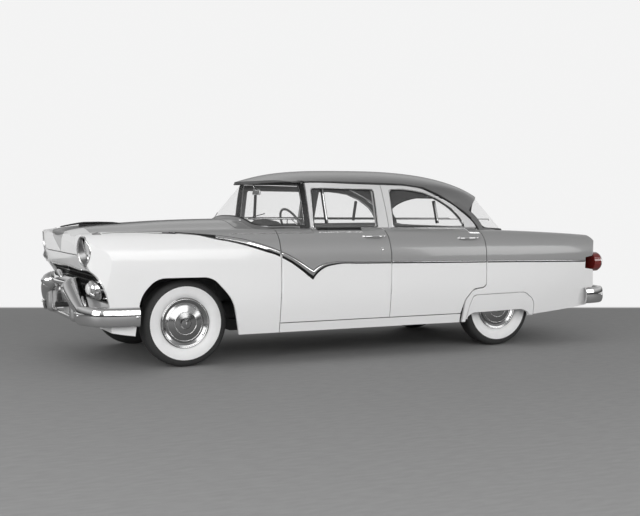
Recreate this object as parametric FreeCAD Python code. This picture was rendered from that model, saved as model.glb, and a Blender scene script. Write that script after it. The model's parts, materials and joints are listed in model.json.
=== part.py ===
import FreeCAD, Part
import math
import os

# Full-size four-door sedan of the middle 1950s, modelled at its real size in millimetres.
# Working frame: x runs rearward from the front axle, y to the car's right, z up from the floor.
# Every piece is placed by one shift that puts the origin under the middle of the car.

V = FreeCAD.Vector
DOC = FreeCAD.newDocument("Sedan")
SHEET = DOC.addObject("Spreadsheet::Sheet", "Sizes")

SIZES = [
    ("wheelbase", 2934),
    ("front_overhang", 878),
    ("rear_overhang", 1230),
    ("overall_width", 1928),
    ("overall_height", 1565),
    ("belt_height", 1062),
    ("front_track", 1473),
    ("rear_track", 1422),
    ("tyre_radius", 343),
    ("tyre_width", 172),
    ("rim_radius", 190),
    ("rim_width", 140),
    ("spindle_radius", 20),
    ("running_clearance", 0.08),
    ("seat_clearance", 0.3),
    ("panel_gap", 7),
    ("skin_thickness", 22),
    ("door_depth", 80),
    ("frame_depth", 32),
    ("roof_thickness", 24),
    ("glass_thickness", 6),
    ("glass_setback", 13),
    ("sill_height", 324),
    ("hinge_inset", 20),
    ("hinge_pin_radius", 5),
    ("hinge_arm_width", 10),
    ("hinge_arm_height", 26),
    ("kingpin_inset", 96),
    ("kingpin_radius", 20),
    ("rail_width", 70),
    ("rail_spread", 415),
    ("rail_depth", 105),
    ("floor_height", 330),
    ("floor_thickness", 14),
    ("bumper_height", 150),
    ("bumper_thickness", 16),
    ("bumper_level", 425),
    ("guard_width", 88),
    ("plate_width", 305),
    ("plate_height", 153),
    ("plate_thickness", 3),
    ("plate_bolt_spread", 178),
    ("plate_bolt_radius", 3.5),
    ("headlamp_radius", 89),
    ("headlamp_spread", 742),
    ("headlamp_height", 943),
    ("tail_lamp_radius", 88),
    ("tail_lamp_height", 731),
    ("steering_wheel_radius", 222),
    ("steering_rim_radius", 10),
    ("column_radius", 24),
    ("driver_offset", 370),
    ("engine_length", 700),
    ("engine_width", 520),
    ("engine_height", 450),
    ("gearbox_radius", 85),
    ("overrun", 400),
]
for row, (alias, value) in enumerate(SIZES, start=1):
    SHEET.set(f"A{row}", alias)
    SHEET.set(f"B{row}", str(value))
    SHEET.setAlias(f"B{row}", alias)
DOC.recompute()


def size(alias):
    """A driving dimension, read from the sheet."""
    return float(SHEET.get(alias))


HALF = size("overall_width") / 2
TALL = size("overall_height")
BELT = size("belt_height")
GAP = size("panel_gap")
SKIN = size("skin_thickness")
FAR = size("overrun")
LENGTH = size("front_overhang") + size("wheelbase") + size("rear_overhang")
PLACE = V(size("front_overhang") - LENGTH / 2, 0, 0)
NODES = []


def station(share):
    """A place along the car: 0 at the front axle, 1 at the rear axle, -1 and 2 at the bumper ends."""
    if share < 0:
        return share * size("front_overhang")
    if share > 1:
        return size("wheelbase") + (share - 1) * size("rear_overhang")
    return share * size("wheelbase")


def keep(name, shape):
    """Adds a finished piece to the document under its node name."""
    solids = shape.Solids
    piece = DOC.addObject("Part::Feature", name)
    piece.Label = name
    piece.Shape = solids[0] if len(solids) == 1 else Part.makeCompound(solids)
    piece.Placement = FreeCAD.Placement(PLACE, FreeCAD.Rotation())
    NODES.append(piece)
    return piece


def mirrored(shape):
    """The same piece on the car's other side."""
    return shape.mirror(V(0, 0, 0), V(0, 1, 0))


def both_sides(shape):
    return Part.makeCompound([shape, mirrored(shape)])


def lift(plane, a, b):
    """A point of a side view (x, z), plan view (x, y) or front view (y, z)."""
    if plane == "side":
        return V(a, 0, b)
    if plane == "plan":
        return V(a, b, 0)
    return V(0, a, b)


def smooth(points, closed=False):
    curve = Part.BSplineCurve()
    curve.interpolate(Points=points, PeriodicFlag=closed)
    return curve.toShape()


def rounded(plane, points, radius):
    """A closed outline with straight sides whose corners are arcs. radius is one value or one per corner."""
    count = len(points)
    radii = radius if isinstance(radius, (list, tuple)) else [radius] * count
    spots = [lift(plane, a, b) for a, b in points]
    cuts = []
    for i, spot in enumerate(spots):
        back = (spots[i - 1] - spot).normalize()
        ahead = (spots[(i + 1) % count] - spot).normalize()
        half = math.acos(max(-1, min(1, back.dot(ahead)))) / 2
        if radii[i] <= 0 or half > math.radians(89):
            cuts.append((spot, None, spot))
            continue
        reach = radii[i] / math.tan(half)
        middle = (back + ahead).normalize()
        inner = spot + middle * (radii[i] / math.sin(half) - radii[i])
        cuts.append((spot + back * reach, inner, spot + ahead * reach))
    edges = []
    for i, (start, inner, end) in enumerate(cuts):
        if inner is not None:
            edges.append(Part.Arc(start, inner, end).toShape())
        after = cuts[(i + 1) % count][0]
        if end.distanceToPoint(after) > 1e-4:
            edges.append(Part.LineSegment(end, after).toShape())
    return Part.Wire(edges)


def traced(plane, *runs):
    """A closed outline made of runs of points: two points are a line, more are one smooth curve."""
    edges = []
    for run in runs:
        points = [lift(plane, a, b) for a, b in run]
        edges.append(Part.makeLine(points[0], points[1]) if len(points) == 2 else smooth(points))
    return Part.Wire(edges)


def swept(plane, wire, low, high):
    """The outline's solid between two planes across its view."""
    normal = {"side": V(0, 1, 0), "plan": V(0, 0, 1), "front": V(1, 0, 0)}[plane]
    face = Part.Face(wire)
    face.translate(normal * low)
    return face.extrude(normal * (high - low))


def slab(low, high):
    """A box between two corners."""
    return Part.makeBox(high[0] - low[0], high[1] - low[1], high[2] - low[2], V(*low))


def half_space_box(x=(None, None), y=(None, None), z=(None, None)):
    """A box that is open, up to the overrun past the car, wherever a limit is None."""
    limits = [(-2 * LENGTH, 2 * LENGTH)] * 3
    low = [a[0] if a[0] is not None else b[0] for a, b in zip((x, y, z), limits)]
    high = [a[1] if a[1] is not None else b[1] for a, b in zip((x, y, z), limits)]
    return slab(low, high)


# Lower body: cross sections of half the car, from the centre line over the crown to the sill.
# Each row: station, centre height, then width and height of valley, crown, shoulder, widest, lower, sill.
# Widths are shares of half the overall width, heights shares of the overall height.
BODY_SHARES = [
    (-0.985, 0.655, (0.622, 0.645), (0.755, 0.655), (0.868, 0.600), (0.888, 0.486), (0.885, 0.358), (0.860, 0.260)),
    (-0.797, 0.688, (0.633, 0.664), (0.770, 0.672), (0.900, 0.613), (0.928, 0.486), (0.910, 0.332), (0.872, 0.211)),
    (-0.456, 0.704, (0.654, 0.674), (0.790, 0.680), (0.934, 0.620), (0.965, 0.486), (0.942, 0.319), (0.905, 0.172)),
    (0.000, 0.719, (0.680, 0.680), (0.812, 0.684), (0.952, 0.625), (0.988, 0.482), (0.982, 0.319), (0.939, 0.156)),
    (0.136, 0.727, (0.700, 0.682), (0.828, 0.684), (0.960, 0.625), (0.996, 0.479), (0.991, 0.319), (0.946, 0.156)),
    (0.256, 0.729, (0.720, 0.681), (0.842, 0.682), (0.963, 0.622), (1.000, 0.476), (0.994, 0.316), (0.949, 0.156)),
    (0.426, 0.722, (0.736, 0.679), (0.850, 0.679), (0.965, 0.619), (1.000, 0.473), (0.994, 0.314), (0.949, 0.156)),
    (0.596, 0.705, (0.736, 0.676), (0.852, 0.676), (0.965, 0.616), (1.000, 0.472), (0.994, 0.314), (0.949, 0.156)),
    (0.767, 0.690, (0.730, 0.670), (0.852, 0.671), (0.964, 0.612), (1.000, 0.472), (0.993, 0.314), (0.949, 0.156)),
    (0.920, 0.672, (0.716, 0.658), (0.853, 0.664), (0.963, 0.606), (0.998, 0.472), (0.991, 0.314), (0.946, 0.157)),
    (1.216, 0.644, (0.716, 0.641), (0.855, 0.651), (0.955, 0.596), (0.986, 0.471), (0.976, 0.320), (0.934, 0.176)),
    (1.541, 0.622, (0.705, 0.625), (0.845, 0.637), (0.939, 0.585), (0.964, 0.471), (0.950, 0.332), (0.913, 0.196)),
    (1.785, 0.596, (0.695, 0.606), (0.830, 0.624), (0.915, 0.575), (0.934, 0.471), (0.916, 0.345), (0.884, 0.217)),
    (1.935, 0.565, (0.685, 0.585), (0.815, 0.613), (0.892, 0.566), (0.908, 0.471), (0.890, 0.360), (0.862, 0.240)),
]
HOOD_MIDDLE_SHARE = 0.40
HOOD_RISE_SHARE = 0.66


def half_section(row):
    """The section's points from the centre line down to the sill, as (y, z) with y positive."""
    centre = row[1]
    valley = row[2]
    points = [(0, centre)]
    points.append((HOOD_MIDDLE_SHARE, valley[1] + (centre - valley[1]) * HOOD_RISE_SHARE))
    points += row[2:]
    return [(y * HALF, z * TALL) for y, z in points]


def inset_points(points, depth):
    """The half section moved inward by depth along its own normals."""
    moved = []
    for i, (y, z) in enumerate(points):
        before = points[i - 1] if i else (-points[1][0], points[1][1])
        after = points[i + 1] if i + 1 < len(points) else points[i]
        dy, dz = after[0] - before[0], after[1] - before[1]
        run = math.hypot(dy, dz)
        moved.append((y + dz / run * depth, z - dy / run * depth))
    return moved


def section_wire(x, points, floor):
    """A closed section: one smooth curve over the car and a line under it."""
    low_y = points[-1][0]
    run = points + [(low_y, floor)] if floor < points[-1][1] - 1 else points
    curve = [V(x, -y, z) for y, z in reversed(points)] + [V(x, y, z) for y, z in points[1:]]
    edges = [smooth(curve)]
    if len(run) > len(points):
        corners = [V(x, low_y, points[-1][1]), V(x, low_y, floor), V(x, -low_y, floor), V(x, -low_y, points[-1][1])]
        edges += [Part.makeLine(corners[i], corners[i + 1]) for i in range(3)]
    else:
        edges.append(Part.makeLine(curve[-1], curve[0]))
    return Part.Wire(edges)


def body_loft(depth):
    wires = []
    for row in BODY_SHARES:
        points = inset_points(half_section(row), depth)
        floor = points[-1][1] - (FAR / 2 if depth else 0)
        wires.append(section_wire(station(row[0]), points, floor))
    return Part.makeLoft(wires, True, False)


# Nose and tail as seen from the side (x, z) and from above (x, y), in stations and shares.
NOSE_SIDE_SHARES = [
    (-0.865, 0.690), (-0.912, 0.676), (-0.926, 0.655), (-0.918, 0.615), (-0.895, 0.560), (-0.868, 0.512), (-0.848, 0.490),
]
MOUTH_SIDE_SHARES = [
    (-0.848, 0.490), (-0.812, 0.472), (-0.765, 0.436), (-0.728, 0.386), (-0.702, 0.330), (-0.685, 0.270), (-0.675, 0.200),
]
NOSE_PLAN_SHARES = [
    (-0.560, 1.040), (-0.700, 0.940), (-0.820, 0.893), (-0.868, 0.855), (-0.893, 0.780), (-0.912, 0.640),
    (-0.922, 0.400), (-0.927, 0.000),
]
TAIL_SIDE_SHARES = [
    (1.700, 0.650), (1.795, 0.625), (1.822, 0.600), (1.842, 0.560), (1.862, 0.500), (1.868, 0.450), (1.855, 0.390),
    (1.820, 0.330), (1.790, 0.290), (1.765, 0.200),
]
TAIL_PLAN_SHARES = [
    (1.620, 1.040), (1.740, 0.960), (1.810, 0.915), (1.845, 0.850), (1.862, 0.700), (1.870, 0.400), (1.873, 0.000),
]


def side_limit(shift):
    """Everything behind the nose's outline and before the tail's, as a solid across the car."""
    nose = [(station(s) + shift, z * TALL) for s, z in NOSE_SIDE_SHARES]
    mouth = [(station(s) + shift, z * TALL) for s, z in MOUTH_SIDE_SHARES]
    tail = [(station(s) - shift, z * TALL) for s, z in TAIL_SIDE_SHARES]
    top = TALL * 2
    low = -TALL
    outline = traced(
        "side",
        nose, mouth,
        [mouth[-1], (mouth[-1][0], low)],
        [(mouth[-1][0], low), (tail[-1][0], low)],
        [(tail[-1][0], low), tail[-1]],
        list(reversed(tail)),
        [tail[0], (tail[0][0], top)],
        [(tail[0][0], top), (nose[0][0], top)],
        [(nose[0][0], top), nose[0]],
    )
    return swept("side", outline, -2 * HALF, 2 * HALF)


def plan_limit(shift):
    """Everything inside the nose's and the tail's outlines seen from above."""
    nose = [(station(s) + shift, y * HALF) for s, y in NOSE_PLAN_SHARES]
    tail = [(station(s) - shift, y * HALF) for s, y in TAIL_PLAN_SHARES]
    nose_run = nose + [(x, -y) for x, y in reversed(nose[:-1])]
    tail_run = tail + [(x, -y) for x, y in reversed(tail[:-1])]
    outline = traced(
        "plan",
        nose_run,
        [nose_run[-1], tail_run[-1]],
        list(reversed(tail_run)),
        [tail_run[0], nose_run[0]],
    )
    return swept("plan", outline, -TALL, 2 * TALL)


def lower_body(depth):
    """The lower body as a solid, or the room inside it when depth is more than zero."""
    return body_loft(depth).common(side_limit(depth)).common(plan_limit(depth))


OUTER = lower_body(0)
ROOM = lower_body(SKIN)
DOOR_ROOM = body_loft(size("door_depth"))
PANEL = OUTER.cut(ROOM)

# Glass and pillars: outlines seen from above at the belt and at the roof rail, front centre to rear centre.
BELT_SHARES = [
    (0.196, 0.000), (0.200, 0.311), (0.220, 0.581), (0.256, 0.742), (0.307, 0.814), (0.361, 0.842), (0.511, 0.849),
    (0.682, 0.849), (0.818, 0.842), (0.903, 0.830), (0.965, 0.783), (1.062, 0.664), (1.176, 0.498), (1.237, 0.270),
    (1.253, 0.000),
]
RAIL_SHARES = [
    (0.300, 0.000), (0.304, 0.249), (0.319, 0.467), (0.336, 0.612), (0.351, 0.685), (0.368, 0.718), (0.511, 0.726),
    (0.665, 0.724), (0.750, 0.716), (0.818, 0.697), (0.873, 0.659), (0.917, 0.581), (0.954, 0.446), (0.975, 0.239),
    (0.982, 0.000),
]
BELT_LEVEL_SHARE = 0.679
RAIL_LEVEL_SHARE = 0.920
CANOPY_LEVEL_SHARES = [0.610, 0.800, 0.955]
CANOPY_BULGE_SHARES = [0.0, 0.006, 0.0]


def canopy(depth):
    """The glass house as a solid from below the belt to inside the roof, depth inside its outer face."""
    wires = []
    for level, bulge in zip(CANOPY_LEVEL_SHARES, CANOPY_BULGE_SHARES):
        t = (level - BELT_LEVEL_SHARE) / (RAIL_LEVEL_SHARE - BELT_LEVEL_SHARE)
        half = []
        for (s0, y0), (s1, y1) in zip(BELT_SHARES, RAIL_SHARES):
            x = station(s0) + (station(s1) - station(s0)) * t
            half.append((x, (y0 + (y1 - y0) * t) * HALF))
        ring = [(x, -y) for x, y in half] + [(x, y) for x, y in reversed(half[1:-1])]
        moved = []
        for i, (x, y) in enumerate(ring):
            before, after = ring[i - 1], ring[(i + 1) % len(ring)]
            dx, dy = after[0] - before[0], after[1] - before[1]
            run = math.hypot(dx, dy)
            inward = depth - bulge * TALL
            moved.append(V(x - dy / run * inward, y + dx / run * inward, level * TALL))
        wires.append(Part.Wire([smooth(moved, closed=True)]))
    return Part.makeLoft(wires, True, False)


# Roof: station, centre height, rail width and height, width at the belt, in shares.
ROOF_SHARES = [
    (0.230, 0.918, 0.655, 0.902, 0.830), (0.300, 0.945, 0.700, 0.914, 0.850), (0.345, 0.972, 0.722, 0.920, 0.858),
    (0.400, 0.988, 0.734, 0.922, 0.862), (0.494, 0.998, 0.740, 0.920, 0.866), (0.596, 1.000, 0.740, 0.918, 0.866),
    (0.699, 0.998, 0.735, 0.915, 0.866), (0.784, 0.988, 0.722, 0.906, 0.864), (0.852, 0.971, 0.699, 0.892, 0.858),
    (0.920, 0.941, 0.657, 0.866, 0.838), (0.971, 0.908, 0.602, 0.833, 0.800), (1.054, 0.866, 0.525, 0.793, 0.720),
    (1.176, 0.818, 0.442, 0.748, 0.610),
]
ROOF_CURVE_SHARES = [(0.40, 0.12), (0.72, 0.42), (0.92, 0.76)]
ROOF_FOOT_SHARE = 0.640


def roof_loft(depth):
    wires = []
    for s, top, rail_y, rail_z, foot_y in ROOF_SHARES:
        points = [(0, top)]
        points += [(rail_y * across, top - (top - rail_z) * drop) for across, drop in ROOF_CURVE_SHARES]
        points += [(rail_y, rail_z), ((rail_y + foot_y) / 2, (rail_z + ROOF_FOOT_SHARE) / 2), (foot_y, ROOF_FOOT_SHARE)]
        points = inset_points([(y * HALF, z * TALL) for y, z in points], depth)
        wires.append(section_wire(station(s), points, points[-1][1] - (FAR / 2 if depth else 0)))
    return Part.makeLoft(wires, True, False)


# Lines seen from the side, in stations and shares of the height.
DRIP_SHARES = [
    (0.190, 0.905), (0.300, 0.919), (0.360, 0.926), (0.480, 0.924), (0.603, 0.919), (0.676, 0.915), (0.746, 0.898), (0.791, 0.863),
    (0.836, 0.820), (0.884, 0.761), (0.905, 0.727),
]
DRIP_FOOT_SHARES = [(0.905, 0.727), (0.921, 0.690), (0.930, 0.640)]
ROOF_REAR_SHARES = [(0.905, 0.727), (0.922, 0.795), (0.955, 0.838), (1.011, 0.857), (1.140, 0.862)]


def side_points(shares, shift_x=0, shift_z=0):
    return [(station(s) + shift_x, z * TALL + shift_z) for s, z in shares]


def drip_line(shift_x=0, shift_z=0):
    """The edge between the roof and the doors, from the front to the belt behind the rear door."""
    return side_points(DRIP_SHARES, shift_x, shift_z)


def roof_zone():
    """Side view of what belongs to the roof: above the drip line and ahead of the rear lip."""
    drip, rear = drip_line(), side_points(ROOF_REAR_SHARES)
    top = TALL * 1.5
    return swept("side", traced(
        "side", drip, rear,
        [rear[-1], (rear[-1][0], top)],
        [(rear[-1][0], top), (drip[0][0], top)],
        [(drip[0][0], top), drip[0]],
    ), -2 * HALF, 2 * HALF)


ROOF_LIP_SHARES = [
    (0.380, 0.900), (0.345, 0.740), (0.322, 0.620), (0.304, 0.450), (0.293, 0.240), (0.290, 0.000),
]


def lip_zone():
    """Plan of the roof behind its front lip, over the windshield."""
    run = [(station(s), y * HALF) for s, y in ROOF_LIP_SHARES]
    run = run + [(x, -y) for x, y in reversed(run[:-1])]
    end = station(2)
    return swept("plan", traced(
        "plan", run, [run[-1], (end, run[-1][1])], [(end, run[-1][1]), (end, run[0][1])], [(end, run[0][1]), run[0]],
    ), 0, 2 * TALL)


# Seams between panels, in stations and shares.
SEAT = size("seat_clearance")
INSIDE = lower_body(SKIN + SEAT)
HOOD_REAR = station(0.172)
HOOD_EDGE_SHARES = [(-1.100, 0.585), (-0.900, 0.600), (-0.600, 0.640), (-0.200, 0.685), (0.172, 0.715)]
HOOD_LIP = 0.560 * TALL
DOOR_INNER = 0.755 * HALF
DOOR_FRONT = station(0.2555)
B_SEAM = station(0.5932)
DOOR_REAR = station(0.9175)
SILL = size("sill_height")
FRAME_FOOT = 0.683 * TALL
HINGE_Y = HALF - size("hinge_inset")
HINGE_HEIGHTS = [share * TALL for share in (0.345, 0.505)]
FRONT_AXIS = DOOR_FRONT + size("hinge_inset")
FRONT_REACH = B_SEAM - FRONT_AXIS
UPPER_REACH = math.hypot(station(0.6045) - FRONT_AXIS, HINGE_Y - 0.735 * HALF)
REAR_AXIS = B_SEAM + GAP + size("hinge_inset")
REAR_REACH = DOOR_REAR - REAR_AXIS
CANOPY = canopy(0)
FRAMES = CANOPY.cut(canopy(size("frame_depth")))
GLASS = canopy(size("glass_setback")).cut(canopy(size("glass_setback") + size("glass_thickness")))
DOOR_WALL = OUTER.cut(DOOR_ROOM)

FRONT_ARCH_SHARES = [(-0.490, 0.080), (-0.440, 0.370), (-0.300, 0.453), (0.060, 0.452), (0.118, 0.335), (0.147, 0.080)]
FRONT_ARCH_ROUND_SHARES = [0.0, 0.15, 0.10, 0.11, 0.20, 0.0]
REAR_ARCH_SHARES = [(0.848, 0.080), (0.862, 0.240), (0.874, 0.308), (1.150, 0.312), (1.248, 0.262), (1.256, 0.080)]
REAR_ARCH_ROUND_SHARES = [0.0, 0.13, 0.035, 0.07, 0.08, 0.0]
DOOR_CORNER_SHARES = [(0.9175, 0.900), (0.9195, 0.352), (0.874, 0.342), (0.846, 0.285), (0.834, 0.207)]
DOOR_CORNER_ROUND_SHARES = [0.0, 0.035, 0.05, 0.07, 0.0]
MOUTH_SHARES = [(0.890, 0.331), (0.870, 0.400), (0.822, 0.466), (0.560, 0.484), (0.0, 0.492)]


def scaled(shares):
    return [share * TALL for share in shares]


def centre_strip(shift, rear):
    """The room between the front fenders, shift wider on each side, back to a given place."""
    run = [(station(s), y * HALF + shift) for s, y in HOOD_EDGE_SHARES]
    left = [(x, -y) for x, y in reversed(run)]
    end = run[-1]
    back = [[end, (rear, end[1])], [(rear, end[1]), (rear, -end[1])], [(rear, -end[1]), left[0]]]
    if rear <= end[0]:
        back = [[end, left[0]]]
    return swept("plan", traced("plan", run, *back, left, [left[-1], run[0]]), 0, 2 * TALL)


def mouth(shift=0):
    """The grille's opening in the nose, seen from the front."""
    run = [(y * HALF + shift, z * TALL + (shift if z > 0.4 else 0)) for y, z in MOUTH_SHARES]
    run = run + [(-y, z) for y, z in reversed(run[:-1])]
    low = run[0][1] - shift
    outline = traced("front", run, [run[-1], (run[-1][0], low)] if shift else [run[-1], run[0]],
                     *([[(run[-1][0], low), (run[0][0], low)], [(run[0][0], low), run[0]]] if shift else []))
    return swept("front", outline, station(-1.2), station(-0.45))


def front_arch():
    return swept("side", rounded("side", side_points(FRONT_ARCH_SHARES), scaled(FRONT_ARCH_ROUND_SHARES)), -2 * HALF, 2 * HALF)


def rear_arch(shift):
    """The rear wheel opening, shift smaller all round for the skirt."""
    points = side_points(REAR_ARCH_SHARES)
    middle = (points[0][0] + points[-1][0]) / 2
    moved = [(x + (shift if x < middle else -shift), z - (shift if z > 0.3 * TALL else 0)) for x, z in points]
    return swept("side", rounded("side", moved, scaled(REAR_ARCH_ROUND_SHARES)), -2 * HALF, 2 * HALF)


FRONT_WINDOW_SHARES = [(0.377, 0.686), (0.381, 0.889), (0.577, 0.884), (0.574, 0.686)]
REAR_WINDOW_FOOT_SHARES = [(0.873, 0.686), (0.630, 0.686), (0.634, 0.883)]
REAR_WINDOW_TOP_SHARES = [(0.634, 0.883), (0.673, 0.883), (0.743, 0.866), (0.790, 0.832), (0.834, 0.780), (0.873, 0.686)]
WINDOW_ROUND_SHARE = 0.014


def front_window(shift=0):
    points = side_points(FRONT_WINDOW_SHARES)
    signs = [(1, 1), (1, -1), (-1, -1), (-1, 1)]
    moved = [(x + a * shift, z + b * shift) for (x, z), (a, b) in zip(points, signs)]
    return rounded("side", moved, WINDOW_ROUND_SHARE * TALL)


def rear_window(shift=0):
    foot = side_points(REAR_WINDOW_FOOT_SHARES)
    top = side_points(REAR_WINDOW_TOP_SHARES)
    foot = [(foot[0][0] - 2 * shift, foot[0][1] + shift), (foot[1][0] + shift, foot[1][1] + shift), (foot[2][0] + shift, foot[2][1] - shift)]
    top = [foot[2]] + [(x - shift / 2, z - shift) for x, z in top[1:-1]] + [foot[0]]
    return traced("side", foot[:2], foot[1:], top)


def left_half(shape):
    return shape.common(half_space_box(y=(None, 0)))


def raised(height):
    """The lower body moved up, to trim what stands on it."""
    copy = OUTER.copy()
    copy.translate(V(0, 0, height))
    return copy


def hinge_room(x):
    """Bores and notches in a door's front edge for its hinge arms and pins."""
    arm_tall = size("hinge_arm_height")
    reach = size("hinge_pin_radius") + size("running_clearance")
    side = size("hinge_arm_width")
    cuts = []
    for z in HINGE_HEIGHTS:
        notch = slab((x - FAR, -HINGE_Y - side * 0.9, z - arm_tall / 2 - GAP), (x + side * 1.3, -DOOR_INNER, z + arm_tall / 2 + GAP))
        cuts.append(notch)
        cuts.append(Part.makeCylinder(reach, arm_tall * 3, V(x, -HINGE_Y, z - 1.5 * arm_tall)))
    return Part.makeCompound(cuts)


def hinge_arms(x, inner):
    """Arms that reach out from a pillar to a door's hinge axis, each with its pin."""
    arm_tall = size("hinge_arm_height")
    width = size("hinge_arm_width")
    shapes = []
    for z in HINGE_HEIGHTS:
        arm = slab((x - width / 2, -HINGE_Y, z - arm_tall / 2), (x + width / 2, -inner, z + arm_tall / 2))
        eye = Part.makeCylinder(width * 0.75, arm_tall, V(x, -HINGE_Y, z - arm_tall / 2))
        pin = Part.makeCylinder(size("hinge_pin_radius"), 2.6 * arm_tall, V(x, -HINGE_Y, z - 1.3 * arm_tall))
        shapes.append(arm.fuse([eye, pin]))
    return shapes


def drum(x, radius, low=0, high=2 * TALL):
    """An upright cylinder about a left door's hinge axis."""
    return Part.makeCylinder(radius, high - low, V(x, -HINGE_Y, low))


def hinge_corner(x):
    """What a door's rounded front edge leaves free outside its hinge axis."""
    return slab((x - FAR, -2 * HALF, 0), (x, -HINGE_Y, 2 * TALL)).cut(drum(x, size("hinge_inset")))


def front_drums(shift):
    """The front door's swing: one radius below the belt, a longer one for its window frame."""
    low = drum(FRONT_AXIS, FRONT_REACH + shift, 0, FRAME_FOOT)
    return low.fuse(drum(FRONT_AXIS, UPPER_REACH + shift, FRAME_FOOT - (shift and 3), 2 * TALL))


def under_drip(gap_x, gap_z):
    """The doors' side of the drip line: the gap is gap_z above and gap_x where the line falls."""
    fall = station(0.676)
    drip = [(x - gap_x * max(0, min(1, (x - fall) / (station(0.826) - fall))), z - gap_z) for x, z in drip_line()]
    foot = [(x - gap_x, z - gap_z) for x, z in side_points(DRIP_FOOT_SHARES)]
    run = drip + foot[1:]
    low = 0.60 * TALL
    return swept("side", traced(
        "side", run, [run[-1], (run[-1][0], low)], [(run[-1][0], low), (run[0][0], low)], [(run[0][0], low), run[0]],
    ), -2 * HALF, 0)


def front_door():
    lower = DOOR_WALL.common(slab((DOOR_FRONT, -2 * HALF, SILL), (B_SEAM, -DOOR_INNER, FRAME_FOOT)))
    frame = FRAMES.common(slab((station(0.3655), -HALF, 0.655 * TALL), (B_SEAM, -HALF / 3, FRAME_FOOT)))
    upper = FRAMES.common(slab((station(0.3655), -HALF, FRAME_FOOT), (B_SEAM + FAR / 2, -HALF / 3, TALL)))
    door = lower.fuse([frame, upper.common(under_drip(16, GAP + 1))])
    door = door.common(front_drums(0).fuse(half_space_box(x=(None, FRONT_AXIS))))
    door = door.cut(swept("side", front_window(), -2 * HALF, 0))
    return door.cut(hinge_corner(FRONT_AXIS)).cut(hinge_room(FRONT_AXIS))


def rear_door():
    corner = side_points(DOOR_CORNER_SHARES)
    zone = rounded(
        "side",
        [(B_SEAM - FAR, TALL)] + corner[:-1] + [(corner[-1][0], SILL), (B_SEAM - FAR, SILL)],
        [0] + scaled(DOOR_CORNER_ROUND_SHARES[:-1]) + [0, 0],
    )
    lower = DOOR_WALL.common(swept("side", zone, -2 * HALF, -DOOR_INNER))
    frame = FRAMES.common(slab((B_SEAM - FAR / 2, -HALF, 0.655 * TALL), (station(1), -HALF / 3, TALL)))
    door = lower.fuse(frame.common(under_drip(16, GAP + 1)))
    door = door.common(drum(REAR_AXIS, REAR_REACH).fuse(half_space_box(x=(None, REAR_AXIS))))
    door = door.cut(front_drums(GAP))
    door = door.cut(swept("side", rear_window(), -2 * HALF, 0))
    return door.cut(hinge_corner(REAR_AXIS)).cut(hinge_room(REAR_AXIS))


def door_glass(outline):
    return GLASS.common(swept("side", outline, -2 * HALF, 0))


LAMP_LEAN = math.radians(18)
LAMP_SWEEP = math.radians(7)
LAMP_CENTRE = V(station(-0.822), -size("headlamp_spread"), size("headlamp_height") - 20)
LAMP_LEVEL = V(-math.cos(LAMP_SWEEP), -math.sin(LAMP_SWEEP), 0)
LAMP_AXIS = LAMP_LEVEL * math.cos(LAMP_LEAN) - V(0, 0, 1) * math.sin(LAMP_LEAN)
BEZEL_TALL = 0.075 * TALL
BEZEL_WIDE = 0.101 * HALF


def lamp_plug(wide, tall, low, high):
    """An upright oval plug on the left headlamp's axis, between two depths in front of its centre."""
    oval = Part.Ellipse(V(0, 0, 0), tall, wide).toShape()
    face = Part.Face(Part.Wire([oval]))
    solid = face.extrude(V(0, 0, high - low))
    solid.translate(V(0, 0, low))
    across = LAMP_LEVEL.cross(V(0, 0, 1))
    up = across.cross(LAMP_AXIS)
    matrix = FreeCAD.Matrix(
        up.x, across.x, LAMP_AXIS.x, LAMP_CENTRE.x,
        up.y, across.y, LAMP_AXIS.y, LAMP_CENTRE.y,
        up.z, across.z, LAMP_AXIS.z, LAMP_CENTRE.z,
        0, 0, 0, 1,
    )
    return solid.transformed(matrix)


def headlamp():
    """Leaning oval rim with the round lamp in it."""
    radius = size("headlamp_radius")
    rim = lamp_plug(BEZEL_WIDE - SEAT, BEZEL_TALL - SEAT, -radius, 0.20 * radius)
    rim = rim.cut(lamp_plug(0.90 * BEZEL_WIDE, 0.90 * BEZEL_TALL, -0.10 * radius, radius))
    bulb = Part.makeSphere(2.1 * radius, LAMP_CENTRE - LAMP_AXIS * 1.80 * radius)
    return rim.fuse(bulb.common(lamp_plug(0.94 * radius, radius, -0.20 * radius, radius)))


def front_fender():
    panel = left_half(PANEL).common(half_space_box(x=(None, DOOR_FRONT - GAP)))
    panel = panel.cut(centre_strip(GAP / 2, DOOR_FRONT + FAR))
    return panel.cut(front_arch()).cut(mouth()).cut(lamp_plug(BEZEL_WIDE, BEZEL_TALL, -FAR / 4, FAR))


HOOD_AXIS = V(HOOD_REAR - 12, 0, 0.7195 * TALL)
BOOT_FRONT = station(1.345)
BOOT_AXIS = V(BOOT_FRONT + 12, 0, 0.628 * TALL)
BOOT_HALF = 0.660 * HALF
BOOT_LIP = 0.395 * TALL
LID_PIN = 4
HOOD_HINGE_Y = 0.156 * HALF
BOOT_HINGE_Y = 0.415 * HALF


def lid_room(axis, spread, ahead):
    """Notches and bores in a lid's hinged edge. ahead is +1 where the fixed side lies rearward."""
    cuts = []
    for y in (-spread, spread):
        near, far = sorted((axis.x - 2 * LID_PIN * ahead, axis.x + FAR * ahead))
        cuts.append(slab((near, y - 12, axis.z - FAR), (far, y + 12, axis.z + FAR)))
        cuts.append(Part.makeCylinder(LID_PIN + size("running_clearance"), 60, V(axis.x, y - 30, axis.z), V(0, 1, 0)))
    return Part.makeCompound(cuts)


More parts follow.
